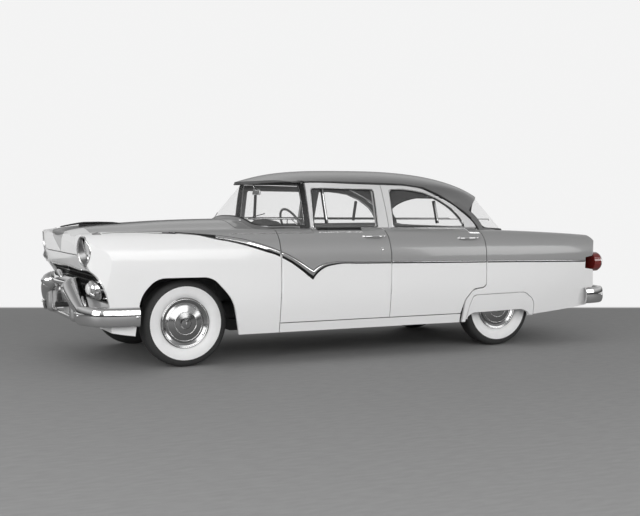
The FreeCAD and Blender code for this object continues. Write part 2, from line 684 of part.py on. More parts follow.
def lid_arms(axis, spread, reach):
    """The fixed arms with pins that a lid turns on."""
    shapes = []
    for y in (-spread, spread):
        low, high = sorted((axis.x, axis.x + reach))
        arm = slab((low, y - 5, axis.z - 6), (high, y + 5, axis.z + 6))
        eye = Part.makeCylinder(6, 10, V(axis.x, y - 5, axis.z), V(0, 1, 0))
        pin = Part.makeCylinder(LID_PIN, 52, V(axis.x, y - 26, axis.z), V(0, 1, 0))
        shapes.append(arm.fuse([eye, pin]))
    return shapes


def lid_corner(axis, radius, ahead):
    """What a lid's rounded hinged edge leaves free above its axis."""
    low, high = sorted((axis.x, axis.x + FAR * ahead))
    block = slab((low, -2 * HALF, axis.z), (high, 2 * HALF, 2 * TALL))
    return block.cut(Part.makeCylinder(radius, 4 * HALF, V(axis.x, -2 * HALF, axis.z), V(0, 1, 0)))


def hood():
    panel = PANEL.common(centre_strip(-GAP / 2, HOOD_REAR)).common(half_space_box(x=(None, HOOD_REAR), z=(HOOD_LIP + GAP, None)))
    return panel.cut(lid_corner(HOOD_AXIS, 12, 1)).cut(lid_room(HOOD_AXIS, HOOD_HINGE_Y, 1))


def nose_panel():
    front = PANEL.common(centre_strip(-GAP / 2, HOOD_REAR)).common(half_space_box(x=(None, station(-0.6)), z=(None, HOOD_LIP)))
    return front.cut(mouth()).cut(irons(station(-1), 0, SEAT))


def irons(x_low, x_high, shift=0):
    """Irons from the frame rails to a bumper, or the slots they pass through when shift is their play."""
    spread, level = size("rail_spread"), 0.262 * TALL
    half = size("rail_width") / 3.5 + shift
    return both_sides(slab((x_low, -spread - half, level - half), (x_high, -spread + half, level + half)))


def grille():
    """Cross bars behind the mouth, following the nose, with a lamp pod at each end."""
    shell = INSIDE.cut(lower_body(2 * SKIN)).common(mouth(SKIN)).common(half_space_box(x=(None, station(-0.62))))
    low, high = MOUTH_SHARES[0][1] * TALL, MOUTH_SHARES[-1][1] * TALL
    wide = MOUTH_SHARES[0][0] * HALF
    rows, columns = 5, 26
    pitch_z, pitch_y = (high - low) / rows, 2 * wide / columns
    bar = 0.20 * pitch_z
    cells = []
    for i in range(rows):
        z = low + i * pitch_z
        for j in range(columns):
            y = -wide + j * pitch_y
            cells.append(slab((station(-1.2), y + bar / 2, z + bar / 2), (station(-0.5), y + pitch_y - bar / 2, z + pitch_z - bar / 2)))
    shell = shell.cut(Part.makeCompound(cells).common(mouth(-GAP)))
    pods = []
    for side in (-1, 1):
        centre = V(station(-0.66), side * 0.643 * HALF, 0.409 * TALL)
        pods.append(Part.makeCone(0.055 * TALL, 0.030 * TALL, 0.05 * TALL, centre, V(-1, 0, 0)))
    return shell.fuse(pods)


def cowl():
    wide = HOOD_EDGE_SHARES[-1][1] * HALF - GAP / 2
    top = PANEL.common(slab((HOOD_REAR + GAP, -wide, HOOD_LIP), (station(0.355), wide, TALL)))
    top = top.cut(canopy(size("frame_depth") + 10))
    arms = lid_arms(HOOD_AXIS, HOOD_HINGE_Y, HOOD_REAR + GAP + 10 - HOOD_AXIS.x)
    return top.fuse(arms)


POST_FACE = HALF - size("door_depth") - 2 * GAP
POST_DEPTH = 0.062 * HALF


def body_side():
    """One body side: sill, hinge pillar and centre pillar with the doors' hinge arms."""
    inner = POST_FACE
    sill_rear = station(DOOR_CORNER_SHARES[-1][0])
    room = body_loft(size("door_depth") + GAP)
    low = OUTER.cut(body_loft(size("door_depth") + 2 * GAP)).common(slab((DOOR_FRONT, -2 * HALF, 0), (sill_rear, 0, SILL - GAP)))
    deep = POST_DEPTH
    posts = [
        slab((DOOR_FRONT - GAP, -HALF, SILL - 2 * GAP), (DOOR_FRONT + 75, -inner + deep, 0.600 * TALL)),
        slab((B_SEAM - 30, -HALF, SILL - 2 * GAP), (B_SEAM + 65, -inner + deep, 0.600 * TALL)),
    ]
    posts = [post.common(room).common(half_space_box(y=(None, -inner + deep))) for post in posts]
    arms = hinge_arms(FRONT_AXIS, inner - 10) + hinge_arms(REAR_AXIS, inner - 10)
    upper = canopy(size("frame_depth") + GAP).cut(canopy(size("frame_depth") + 5 * GAP))
    upper = upper.common(slab((B_SEAM - 10, -HALF, 0.575 * TALL), (B_SEAM + 65, -HALF / 3, 0.915 * TALL)))
    link = slab((B_SEAM - 10, -inner + 0.2 * deep, 0.560 * TALL), (B_SEAM + 65, -DOOR_INNER + 0.4 * deep, 0.600 * TALL))
    return low.fuse(posts + arms + [upper.fuse(link.common(room))])


RAISED_SEAT = raised(SEAT)
RAISED_GAP = raised(GAP).common(half_space_box(x=(DOOR_FRONT - GAP, DOOR_REAR + GAP)))
PILLAR_SHARES = [(0.3505, 0.675), (0.3505, 0.935), (0.3615, 0.935), (0.3615, 0.675)]


def rear_line(shift):
    """The falling edge of the rear pillar seen from the side."""
    foot = side_points(DRIP_FOOT_SHARES)
    line = [p for p in drip_line() if p[0] > station(0.74)] + foot[1:]
    return [(x + shift, z + 0.6 * shift) for x, z in line]


def roof_panel():
    """Roof skin with the windshield's pillars and lower rail and the slim rear pillars."""
    skin = roof_loft(0).cut(roof_loft(size("roof_thickness"))).common(roof_zone()).common(lip_zone())
    pillar = rounded("side", side_points(PILLAR_SHARES), 0)
    front = FRAMES.common(swept("side", pillar, -HALF, HALF))
    rail = FRAMES.common(slab((0, -HALF, 0.60 * TALL), (station(0.3615), HALF, 0.80 * TALL))).common(raised(3 * GAP))
    line, back = rear_line(0), rear_line(0.030 * TALL)
    rear = FRAMES.common(swept("side", traced("side", line, [line[-1], back[-1]], list(reversed(back)), [back[0], line[0]]), -HALF, HALF))
    sill = FRAMES.common(slab((back[-1][0] - 10, -HALF, 0.55 * TALL), (station(1.5), HALF, 0.80 * TALL))).common(raised(2 * GAP))
    stand = front.fuse([rail, rear, sill]).cut(RAISED_SEAT).cut(RAISED_GAP)
    return skin.fuse(stand)


def fixed_glass():
    """Wraparound windshield and rear window, from their lower rails up under the roof's edges."""
    brow = half_space_box(z=(0.88 * TALL, None)).cut(roof_loft(size("roof_thickness") + SEAT))
    ahead = GLASS.common(slab((station(-0.5), -HALF, 0.60 * TALL), (station(0.3505) - SEAT, HALF, 0.94 * TALL)))
    ahead = ahead.cut(raised(3 * GAP + SEAT)).cut(brow)
    header, post, far = side_points(ROOF_REAR_SHARES, SEAT, -SEAT), rear_line(0.030 * TALL + SEAT), station(1.6)
    under = [header[-1], (far, header[-1][1])], [(far, header[-1][1]), (far, 0)], [(far, 0), (header[0][0], 0)]
    under = swept("side", traced("side", header, *under, [(header[0][0], 0), header[0]]), -HALF, HALF)
    after = [post[-1], (far, post[-1][1])], [(far, post[-1][1]), (far, post[0][1])], [(far, post[0][1]), post[0]]
    after = swept("side", traced("side", post, *after), -HALF, HALF)
    behind = GLASS.common(under).common(after).cut(raised(2 * GAP + SEAT))
    return Part.makeCompound([max(pane.Solids, key=lambda solid: solid.Volume) for pane in (ahead, behind)])


def boot_zone(gap):
    """The boot lid's place: a strip over the deck and down the tail, gap wider all round."""
    turn = 0.06 * TALL
    corners = [(BOOT_FRONT - gap, -BOOT_HALF - gap), (station(2.2), -BOOT_HALF - gap), (station(2.2), BOOT_HALF + gap), (BOOT_FRONT - gap, BOOT_HALF + gap)]
    return swept("plan", rounded("plan", corners, [turn, 0, 0, turn]), BOOT_LIP - gap, 2 * TALL)


def boot_lid():
    lid = PANEL.common(boot_zone(0))
    return lid.cut(lid_corner(BOOT_AXIS, 12, -1)).cut(lid_room(BOOT_AXIS, BOOT_HINGE_Y, -1))


TAIL_LAMP = V(station(1.72), -0.868 * HALF, size("tail_lamp_height"))


def rear_body():
    """Quarter panels with the panels under the rear window and over the rear bumper, welded in one."""
    shell = PANEL.common(half_space_box(x=(station(0.83), None)))
    corner = side_points(DOOR_CORNER_SHARES)
    play = GAP + 2
    ahead = [(x + GAP, z - (play if 0 < i < 4 else 0)) for i, (x, z) in enumerate(corner)]
    zone = rounded(
        "side", [(station(0.5), 2 * TALL)] + [(ahead[0][0], 2 * TALL)] + ahead[1:-1] + [(ahead[-1][0], 0), (station(0.5), 0)],
        [0, 0] + scaled(DOOR_CORNER_ROUND_SHARES[1:-1]) + [0, 0],
    )
    swing = drum(REAR_AXIS, REAR_REACH + GAP).fuse(half_space_box(x=(None, REAR_AXIS), y=(None, 0)))
    place = swept("side", zone, -2 * HALF, 0).common(swing)
    shell = shell.cut(both_sides(place)).cut(rear_arch(0)).cut(boot_zone(GAP)).cut(canopy(size("frame_depth") + 10))
    lamp = Part.makeCylinder(size("tail_lamp_radius"), FAR, TAIL_LAMP, V(1, 0, 0))
    arms = lid_arms(BOOT_AXIS, BOOT_HINGE_Y, BOOT_FRONT - GAP - 10 - BOOT_AXIS.x)
    return shell.cut(both_sides(lamp)).cut(irons(station(1.70), station(2), SEAT)).fuse(arms)


def tail_lamp():
    radius = size("tail_lamp_radius") - SEAT
    start = V(station(1.80), TAIL_LAMP.y, TAIL_LAMP.z)
    ring = Part.makeCylinder(radius, 0.060 * size("rear_overhang"), start, V(1, 0, 0))
    tip = Part.makeCone(0.86 * radius, 0.20 * radius, 0.045 * size("rear_overhang"), start + V(0.060 * size("rear_overhang"), 0, 0), V(1, 0, 0))
    return ring.fuse(tip)


SKIRT_FOOT_SHARES = [(0.840, -0.1), (0.862, 0.186), (0.880, 0.206), (1.145, 0.212), (1.205, 0.188), (1.260, 0.100), (1.260, -0.1)]


def skirt():
    """The left wheel cover: a skin flush with the quarter panel and a lip that laps behind it."""
    lip = 0.4 * SKIN
    room = lower_body(SKIN + SEAT + lip)
    face = left_half(OUTER.cut(room)).common(rear_arch(GAP))
    face = face.fuse(left_half(INSIDE.cut(room)).common(rear_arch(-lip)))
    below = rounded("side", side_points(SKIRT_FOOT_SHARES), scaled([0, 0.02, 0.04, 0.05, 0.03, 0, 0]))
    return face.cut(swept("side", below, -2 * HALF, 0)).common(half_space_box(z=(0.170 * TALL, None)))


WHEEL_NAMES = [("front_left", -1, 0), ("front_right", 1, 0), ("rear_left", -1, 1), ("rear_right", 1, 1)]
TYRE_SHARES = [(0.33, 0.565), (0.50, 0.70), (0.492, 0.84), (0.44, 0.935), (0.36, 0.980), (0.18, 0.995), (0.0, 1.0)]
COVER_SHARES = [
    (-0.93, 1.0), (0.88, 1.0), (0.96, 1.04), (0.98, 1.02), (0.93, 0.93), (0.80, 0.83), (0.93, 0.72), (1.12, 0.45), (1.18, 0.24),
    (1.32, 0.20), (1.36, 0.0),
]
HUB_SHARES = [(-0.55, 0.74), (0.45, 0.74), (0.50, 0.90), (-0.90, 0.92)]


def wheel_centre(side, rear):
    track = size("rear_track") if rear else size("front_track")
    return V(size("wheelbase") * rear, side * track / 2, size("tyre_radius"))


def tyre(side, rear):
    centre = wheel_centre(side, rear)
    wide, radius = size("tyre_width"), size("tyre_radius")
    bead = size("rim_radius") + SEAT
    out = [(a * wide, r * radius) for a, r in TYRE_SHARES]
    run = [V(centre.x, centre.y + a, centre.z + r) for a, r in out + [(-a, r) for a, r in reversed(out[:-1])]]
    feet = [V(p.x, p.y, centre.z + bead) for p in (run[-1], run[0])]
    wire = Part.Wire([smooth(run), Part.makeLine(run[-1], feet[0]), Part.makeLine(feet[0], feet[1]), Part.makeLine(feet[1], run[0])])
    return Part.Face(wire).revolve(centre, V(0, 1, 0), 360)


def wheel(side, rear):
    """Steel wheel with its domed cover and brake drum, bored for the spindle."""
    centre = wheel_centre(side, rear)
    rim, half = size("rim_radius"), size("rim_width") / 2
    bore = size("spindle_radius") + size("running_clearance")
    outline = [(a * half, r * rim) for a, r in COVER_SHARES] + [(0.55 * half, 0), (0.55 * half, bore), (-0.55 * half, bore)]
    outline += [(a * half, r * rim) for a, r in HUB_SHARES]
    points = [V(centre.x, centre.y + side * a, centre.z + r) for a, r in outline]
    return Part.Face(Part.makePolygon(points + [points[0]])).revolve(centre, V(0, 1, 0), 360)


KINGPIN_TALL = 0.140 * TALL


def knuckle(side):
    """Steering knuckle: kingpin post with the spindle that carries the wheel."""
    centre = wheel_centre(side, 0)
    pin_y = centre.y - side * size("kingpin_inset")
    post = Part.makeCylinder(size("kingpin_radius"), KINGPIN_TALL, V(0, pin_y, centre.z - KINGPIN_TALL / 2))
    long = size("kingpin_inset") + 0.25 * size("rim_width")
    spindle = Part.makeCylinder(size("spindle_radius"), long, V(0, pin_y, centre.z), V(0, side, 0))
    return post.fuse([spindle, Part.makeSphere(1.5 * size("kingpin_radius"), V(0, pin_y, centre.z))])


RAIL_SHARES_Z = [(-0.62, 0.294), (0.06, 0.294), (0.17, 0.2017), (0.835, 0.2017), (0.95, 0.420), (1.18, 0.420), (1.32, 0.294), (1.73, 0.294)]


def front_suspension():
    """Cross member between the rails with two arms a side that hold the kingpins."""
    level = size("tyre_radius")
    inner = size("rail_spread") - size("rail_width") / 2 - SEAT
    outer = size("rail_spread") + size("rail_width") / 2 + SEAT
    shapes = [slab((-70, -outer - 40, level - 150), (70, outer + 40, level - 75))]
    pin_y = size("front_track") / 2 - size("kingpin_inset")
    hole = size("kingpin_radius") + size("running_clearance")
    for side in (-1, 1):
        for z in (level - KINGPIN_TALL / 2 + 4, level + KINGPIN_TALL / 2 - 18):
            low_y, high_y = sorted((side * (outer + 10), side * pin_y))
            arm = slab((-22, low_y, z), (22, high_y, z + 14))
            eye = Part.makeCylinder(hole + 12, 14, V(0, side * pin_y, z))
            shapes.append(arm.fuse(eye).cut(Part.makeCylinder(hole, 60, V(0, side * pin_y, z - 20))))
        low_y, high_y = sorted((side * outer, side * (outer + 40)))
        shapes.append(slab((-40, low_y, level - 76), (40, high_y, level + KINGPIN_TALL / 2)))
    return shapes[0].fuse(shapes[1:])


def rear_axle():
    """Live axle: tube, gear case, spindles, leaf springs and propeller shaft."""
    base, level = size("wheelbase"), size("tyre_radius")
    half = size("rear_track") / 2
    inner = half - 0.62 * size("rim_width")
    tube = Part.makeCylinder(38, 2 * inner, V(base, -inner, level), V(0, 1, 0))
    stub_end = half + 0.25 * size("rim_width")
    stub = Part.makeCylinder(size("spindle_radius"), 2 * stub_end, V(base, -stub_end, level), V(0, 1, 0))
    shapes = [stub, Part.makeSphere(125, V(base, 0, level))]
    edge = size("rail_spread") + size("rail_width") / 2 + SEAT
    for side in (-1, 1):
        y = side * (edge + 28)
        shapes.append(slab((base - 620, y - 28, level - 66), (base + 620, y + 28, level - 36)))
        for x, top in ((base - 600, level - 30), (base + 600, level + 90)):
            shapes.append(slab((x - 20, y - 28, level - 60), (x + 20, y + 28, top)))
    start = station(0.40)
    shapes.append(Part.makeCylinder(34, base - start, V(start, 0, level), V(1, 0, 0)))
    return tube.fuse(shapes)


def frame_rails():
    """Ladder frame: two rails that drop behind the front wheels and rise over the rear axle."""
    deep = size("rail_depth") * 0.9
    run = side_points(RAIL_SHARES_Z)
    under = [(x, z - deep) for x, z in reversed(run)]
    side = rounded("side", run + under, [0, 60, 60, 60, 60, 60, 60, 0, 0, 60, 60, 60, 60, 60, 60, 0])
    spread, half = size("rail_spread"), size("rail_width") / 2
    rail = swept("side", side, spread - half, spread + half)
    shapes = [mirrored(rail)]
    for s, z in ((-0.56, 0.245), (0.46, 0.150), (0.75, 0.150), (1.62, 0.245)):
        shapes.append(slab((station(s) - 35, -spread, z * TALL), (station(s) + 35, spread, z * TALL + 45)))
    low, high = min(z for _, z in under), size("tyre_radius") - size("gearbox_radius") - SEAT
    shapes.append(slab((station(0.30) - 35, -spread, low), (station(0.30) + 35, spread, high)))
    return rail.fuse(shapes)


FLOOR_HALF = POST_FACE - POST_DEPTH - SEAT
BOOT_FLOOR_SHARE = 0.330
TUNNEL = 100


def floor_pan():
    """Firewall, toe board, floor, rear seat step and boot floor as one folded sheet, with the shaft's tunnel."""
    floor, thick = size("floor_height"), size("floor_thickness")
    run = [
        (station(0.200), 0.668 * TALL), (station(0.200), 0.40 * TALL), (station(0.262), floor), (station(0.825), floor),
        (station(0.862), 0.458 * TALL), (station(1.220), 0.458 * TALL), (station(1.290), BOOT_FLOOR_SHARE * TALL), (station(1.740), BOOT_FLOOR_SHARE * TALL),
    ]
    under = [(x - (thick if i < 2 else 0), z - (0 if i == 0 else thick)) for i, (x, z) in enumerate(run)]
    wire = Part.makePolygon([V(x, 0, z) for x, z in run + list(reversed(under)) + run[:1]])
    sheet = swept("side", wire, -FLOOR_HALF, FLOOR_HALF).common(INSIDE)
    start, end = station(0.235), station(0.840)
    hump = Part.makeCylinder(TUNNEL + thick, end - start, V(start, 0, floor), V(1, 0, 0)).common(half_space_box(z=(floor - thick, None)))
    core = Part.makeCylinder(TUNNEL, 2 * FAR + end - start, V(start - FAR, 0, floor), V(1, 0, 0))
    return sheet.fuse(hump).cut(core.common(half_space_box(x=(station(0.18), end + thick))))


def along(points, profile):
    """A profile swept along a level path and kept upright."""
    pipe = Part.BRepOffsetAPI.MakePipeShell(Part.Wire([smooth(points)]))
    pipe.setBiNormalMode(V(0, 0, 1))
    pipe.add(profile)
    pipe.build()
    pipe.makeSolid()
    return pipe.shape()


FRONT_BUMPER_SHARES = [(-0.455, 0.965), (-0.620, 0.958), (-0.780, 0.900), (-0.870, 0.765), (-0.905, 0.500), (-0.920, 0.250), (-0.924, 0.0)]
REAR_BUMPER_SHARES = [(1.720, 0.938), (1.830, 0.932), (1.900, 0.880), (1.928, 0.750), (1.938, 0.500), (1.943, 0.250), (1.945, 0.0)]
BLADE_SHARES = [(0.0, -0.5), (0.10, -0.46), (0.19, -0.28), (0.22, 0.0), (0.19, 0.28), (0.10, 0.46), (0.0, 0.5)]


def bumper(shares, level, tall):
    """A bowed blade that wraps round the body's corners."""
    run = [V(station(s), -y * HALF, level) for s, y in shares]
    run = run + [V(p.x, -p.y, p.z) for p in reversed(run[:-1])]
    thick = size("bumper_thickness")
    start = run[0]
    outer = [V(start.x, start.y - a * tall, level + b * tall) for a, b in BLADE_SHARES]
    inner = [V(p.x, p.y + thick, level + (p.z - level) * (1 - thick / tall)) for p in outer]
    wire = Part.Wire([smooth(outer), Part.makeLine(outer[-1], inner[-1]), smooth(list(reversed(inner))), Part.makeLine(inner[0], outer[0])])
    return along(run, wire)


def guard(x, tip, y, level, tall):
    """A rounded bumper guard whose face is at tip."""
    wide = size("guard_width")
    block = slab((min(x, tip), y - wide / 2, level - tall / 2), (max(x, tip), y + wide / 2, level + tall / 2))
    edges = [e for e in block.Edges if abs(e.CenterOfMass.x - tip) < 1]
    return block.makeFillet(0.3 * wide, edges)


# The front bumper's scrolls run down from the bullets to the blades: place, and radius as a share of the blade's height.
SCROLL_SHARES = [((-0.900, 0.415, 0.398), 0.50), ((-0.895, 0.480, 0.372), 0.52), ((-0.880, 0.580, 0.325), 0.46), ((-0.860, 0.690, 0.280), 0.34)]


def bullet(tall):
    """Left bullet with its column under it and the scroll that runs out to the blade."""
    (s, y, z), share = SCROLL_SHARES[0]
    base, radius = V(station(s), -y * HALF, z * TALL), share * tall
    nose = station(-1) + 0.08 * tall
    cone = Part.makeCone(radius, 0.14 * tall, base.x - nose, base, V(-1, 0, 0))
    tip = Part.makeSphere(0.14 * tall, V(nose, base.y, base.z)).common(half_space_box(x=(station(-1), None)))
    rings = []
    for (s, y, z), share in SCROLL_SHARES:
        rings.append(Part.Wire([Part.makeCircle(share * tall, V(station(s), -y * HALF, z * TALL), V(0, -1, -0.9))]))
    scroll = Part.makeLoft(rings, True, False)
    level, wide = size("bumper_level"), size("guard_width") / 2
    foot = V(station(-0.885), base.y - wide, level - 0.2 * tall)
    column = Part.makeCylinder(wide, base.z - foot.z, foot)
    return cone.fuse([tip, scroll, column, Part.makeSphere(wide, foot)])


def front_bumper():
    """Two wrapping blades that end in bullets, joined by an upper bar and a slim lower one."""
    level, tall = size("bumper_level"), size("bumper_height")
    end = 0.640 * HALF + tall / 2
    blade = bumper(FRONT_BUMPER_SHARES, level, tall)
    middle = slab((station(-1.1), -end, 0), (station(-0.5), end, TALL))
    rounds = [Part.makeCylinder(tall / 2, FAR, V(station(-1.1), y, level), V(1, 0, 0)) for y in (-end, end)]
    blade = blade.cut(middle.cut(Part.makeCompound(rounds)))
    (s, y, z), share = SCROLL_SHARES[0]
    reach = y * HALF + size("guard_width") / 4
    bar = Part.makeCylinder(0.3 * tall, 2 * reach, V(station(s) + 0.1 * tall, -reach, (z + 0.020) * TALL), V(0, 1, 0))
    low = slab((station(-0.885), -reach, level - 0.5 * tall), (station(-0.865), reach, level - 0.25 * tall))
    left = bullet(tall)
    return blade.Solids[0].fuse(blade.Solids[1:] + [left, mirrored(left), bar, low] + irons(station(-0.90), station(-0.62) - SEAT).Solids)


def plate_bracket(x, level):
    """Flat bracket for the rear plate, held off the blade, with its two upper bolt holes above the blade."""
    wide, tall, spread = size("plate_width"), size("plate_height"), size("plate_bolt_spread")
    sheet = slab((x - size("plate_thickness"), -wide / 2, level - tall / 2), (x, wide / 2, level + tall / 2))
    bolts = [V(x - FAR / 2, y, level + 0.37 * tall) for y in (-spread / 2, spread / 2)]
    holes = [Part.makeCylinder(size("plate_bolt_radius"), FAR, bolt, V(1, 0, 0)) for bolt in bolts]
    stays = [slab((x - 0.2 * tall, y - 0.1 * tall, level - 0.4 * tall), (x - 1, y + 0.1 * tall, level)) for y in (-spread / 2, spread / 2)]
    return sheet.cut(Part.makeCompound(holes)).fuse(stays)


def rear_bumper():
    level, tall = size("bumper_level"), size("bumper_height")
    blade = bumper(REAR_BUMPER_SHARES, level, tall)
    guards = [guard(station(1.945), station(2), y, level + 10, 1.2 * tall) for y in (-0.415 * HALF, 0.415 * HALF)]
    plate = plate_bracket(station(1.945) + 0.30 * tall, level + 0.27 * tall)
    return blade.fuse(guards + [plate] + irons(station(RAIL_SHARES_Z[-1][0]) + SEAT, station(1.945)).Solids)


DRIVER = -size("driver_offset")
COLUMN_TILT = 27
COLUMN_LONG = 640
COLUMN_AXIS = V(math.cos(math.radians(COLUMN_TILT)), 0, math.sin(math.radians(COLUMN_TILT)))
WHEEL_HUB = V(station(0.384), DRIVER, 0.661 * TALL)


def steering_wheel():
    """Rim, three spokes, hub and the shaft that turns in the column."""
    radius, rod = size("steering_wheel_radius"), size("steering_rim_radius")
    rim = Part.makeTorus(radius - rod, rod, WHEEL_HUB, COLUMN_AXIS)
    hub = Part.makeCylinder(34, 46, WHEEL_HUB - COLUMN_AXIS * 40, COLUMN_AXIS)
    shaft = Part.makeCylinder(14, 160, WHEEL_HUB - COLUMN_AXIS * 180, COLUMN_AXIS)
    across = V(0, 1, 0)
    down = across.cross(COLUMN_AXIS)
    spokes = []
    for angle in (0, 180, 90):
        turn = math.radians(angle)
        spoke = across * math.cos(turn) + down * math.sin(turn)
        spokes.append(Part.makeCylinder(8, radius - rod, WHEEL_HUB - COLUMN_AXIS * 6, spoke))
    return hub.fuse([rim, shaft] + spokes)


def steering_column():
    """Column tube from the firewall to the wheel, bored for the shaft."""
    start = WHEEL_HUB - COLUMN_AXIS * COLUMN_LONG
    tube = Part.makeCylinder(size("column_radius"), COLUMN_LONG - 48, start, COLUMN_AXIS)
    bore = Part.makeCylinder(14 + size("running_clearance"), 160, WHEEL_HUB - COLUMN_AXIS * 190, COLUMN_AXIS)
    return tube.cut(bore).common(half_space_box(x=(station(0.200) + SEAT, None)))


def dashboard():
    outline = rounded("side", side_points([
        (0.262, 0.640), (0.262, 0.560), (0.318, 0.560), (0.334, 0.600), (0.326, 0.655), (0.300, 0.662), (0.285, 0.655),
    ]), 0.008 * TALL)
    board = swept("side", outline, -0.735 * HALF, 0.735 * HALF)
    hole = Part.makeCylinder(size("column_radius") + SEAT, 700, WHEEL_HUB - COLUMN_AXIS * 650, COLUMN_AXIS)
    return board.cut(hole)


def bench(cushion, back, wide, foot):
    """A bench seat: cushion, leaning back and the riser it stands on."""
    shapes = [
        swept("side", rounded("side", side_points(cushion), 0.030 * TALL), -wide, wide),
        swept("side", rounded("side", side_points(back), 0.012 * TALL), -wide, wide),
    ]
    low, high = side_points(foot)
    for side in (-1, 1):
        near, far = sorted((side * 0.25 * HALF, side * 0.9 * wide))
        shapes.append(slab((low[0], near, low[1]), (high[0], far, high[1])))
    return shapes[0].fuse(shapes[1:])


def front_seat():
    floor_share = (size("floor_height") + SEAT) / TALL
    return bench(
        [(0.420, 0.300), (0.425, 0.400), (0.590, 0.385), (0.600, 0.300)],
        [(0.545, 0.330), (0.575, 0.640), (0.588, 0.697), (0.612, 0.697), (0.622, 0.640), (0.606, 0.300), (0.560, 0.300)],
        0.715 * HALF, [(0.440, floor_share), (0.590, 0.320)],
    )


def rear_seat():
    floor_share = (size("floor_height") + SEAT) / TALL
    return bench(
        [(0.700, 0.290), (0.702, 0.410), (0.838, 0.390), (0.838, 0.290)],
        [(0.822, 0.330), (0.880, 0.640), (0.905, 0.700), (0.935, 0.700), (0.945, 0.660), (0.905, 0.464), (0.8615, 0.464), (0.836, 0.330)],
        0.700 * HALF, [(0.720, floor_share), (0.822, 0.310)],
    )


def engine():
    """Plain block for the engine with its gearbox, on two mounts beside the rails."""
    long, wide, tall = size("engine_length"), size("engine_width"), size("engine_height")
    front = station(-0.285)
    low = 0.256 * TALL
    block = slab((front, -wide / 2, low), (front + long, wide / 2, low + tall))
    box = Part.makeCylinder(size("gearbox_radius"), station(0.40) - front - long - SEAT, V(front + long, 0, size("tyre_radius")), V(1, 0, 0))
    case = box.common(half_space_box(x=(None, station(0.40) - SEAT)))
    inner = size("rail_spread") - size("rail_width") / 2 - SEAT
    mounts = [slab((-30, min(side * 200, side * inner), 0.262 * TALL), (60, max(side * 200, side * inner), 0.285 * TALL)) for side in (-1, 1)]
    return block.fuse([case] + mounts)


def radiator():
    top, low = 0.550 * TALL, 0.294 * TALL + SEAT
    panel = slab((station(-0.640), -0.60 * HALF, low), (station(-0.620), 0.60 * HALF, top))
    core = slab((station(-0.645), -0.30 * HALF, low + 20), (station(-0.590), 0.30 * HALF, top - 20))
    return panel.fuse(core)


def fuel_tank():
    low, high = side_points([(1.34, 0.175), (1.56, BOOT_FLOOR_SHARE)], 0, 0)
    high = (high[0], high[1] - size("floor_thickness") - SEAT)
    tank = slab((low[0], -0.27 * HALF, low[1]), (high[0], 0.27 * HALF, high[1]))
    return tank.makeFillet(20, tank.Edges)


EXHAUST_SHARES = [
    (0.160, 0.200, 0.235), (0.300, 0.122, 0.235), (0.500, 0.122, 0.235), (0.780, 0.122, 0.235), (0.890, 0.200, 0.235),
    (1.000, 0.300, 0.240), (1.260, 0.240, 0.300), (1.500, 0.165, 0.335), (1.850, 0.150, 0.335),
]


def exhaust():
    """Pipe, silencer and tail pipe under the floor, over the rear axle."""
    points = [V(station(s), a * HALF, z * TALL) for s, z, a in EXHAUST_SHARES]
    curve = smooth(points)
    start = curve.valueAt(curve.FirstParameter)
    along_start = curve.tangentAt(curve.FirstParameter)
    ring = Part.Wire([Part.Circle(start, along_start, 24).toShape()])
    pipe = Part.Wire([curve]).makePipeShell([ring], True, True)
    can = Part.makeCylinder(70, station(0.20), V(station(0.50), EXHAUST_SHARES[2][2] * HALF, EXHAUST_SHARES[2][1] * TALL), V(1, 0, 0))
    return pipe.fuse(can)


def main():
    fender = front_fender()
    side = body_side()
    front, rear = front_door(), rear_door()
    front_pane, rear_pane = door_glass(front_window(0.5)), door_glass(rear_window(0.5))
    for name, left in (
        ("fender_front", fender), ("body_side", side), ("door_front", front), ("door_rear", rear),
        ("window_front", front_pane), ("window_rear", rear_pane),
    ):
        keep(f"{name}_left", left)
        keep(f"{name}_right", mirrored(left))
    keep("roof", roof_panel())
    keep("fixed_glass", fixed_glass())
    keep("hood", hood())
    keep("nose_panel", nose_panel())
    keep("grille", grille())
    keep("headlamps", both_sides(headlamp()))
    keep("cowl", cowl())
    keep("rear_body", rear_body())
    keep("boot_lid", boot_lid())
    keep("fender_skirts", both_sides(skirt()))
    keep("tail_lamps", both_sides(tail_lamp()))
    keep("front_bumper", front_bumper())
    keep("rear_bumper", rear_bumper())
    for name, side, rear in WHEEL_NAMES:
        keep(f"tyre_{name}", tyre(side, rear))
        keep(f"wheel_{name}", wheel(side, rear))
    keep("knuckle_left", knuckle(-1))
    keep("knuckle_right", knuckle(1))
    keep("front_suspension", front_suspension())
    keep("rear_axle", rear_axle())
    keep("frame", frame_rails())
    keep("floor_pan", floor_pan())
    keep("steering_wheel", steering_wheel())
    keep("steering_column", steering_column())
    keep("dashboard", dashboard())
    keep("front_seat", front_seat())
    keep("rear_seat", rear_seat())
    keep("engine", engine())
    keep("radiator", radiator())
    keep("fuel_tank", fuel_tank())
    keep("exhaust", exhaust())
    DOC.recompute()
    for piece in DOC.Objects:
        if "Invalid" in piece.State or "Error" in piece.State:
            raise RuntimeError(f"{piece.Name} failed: {piece.State}")
    os.makedirs("parts", exist_ok=True)
    for piece in NODES:
        if piece.Shape.isNull() or not piece.Shape.isValid():
            raise RuntimeError(f"{piece.Label} is not a valid solid")
        piece.Shape.exportStep(f"parts/{piece.Label}.step")
        print(f"{piece.Label}: {len(piece.Shape.Solids)} solids, {len(piece.Shape.Faces)} faces, {piece.Shape.Volume / 1e6:.2f} L")


if __name__ == "__main__":
    main()
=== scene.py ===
import json
import math
from itertools import groupby

import bmesh
import bpy
from mathutils import Matrix, Vector
from mathutils.bvhtree import BVHTree


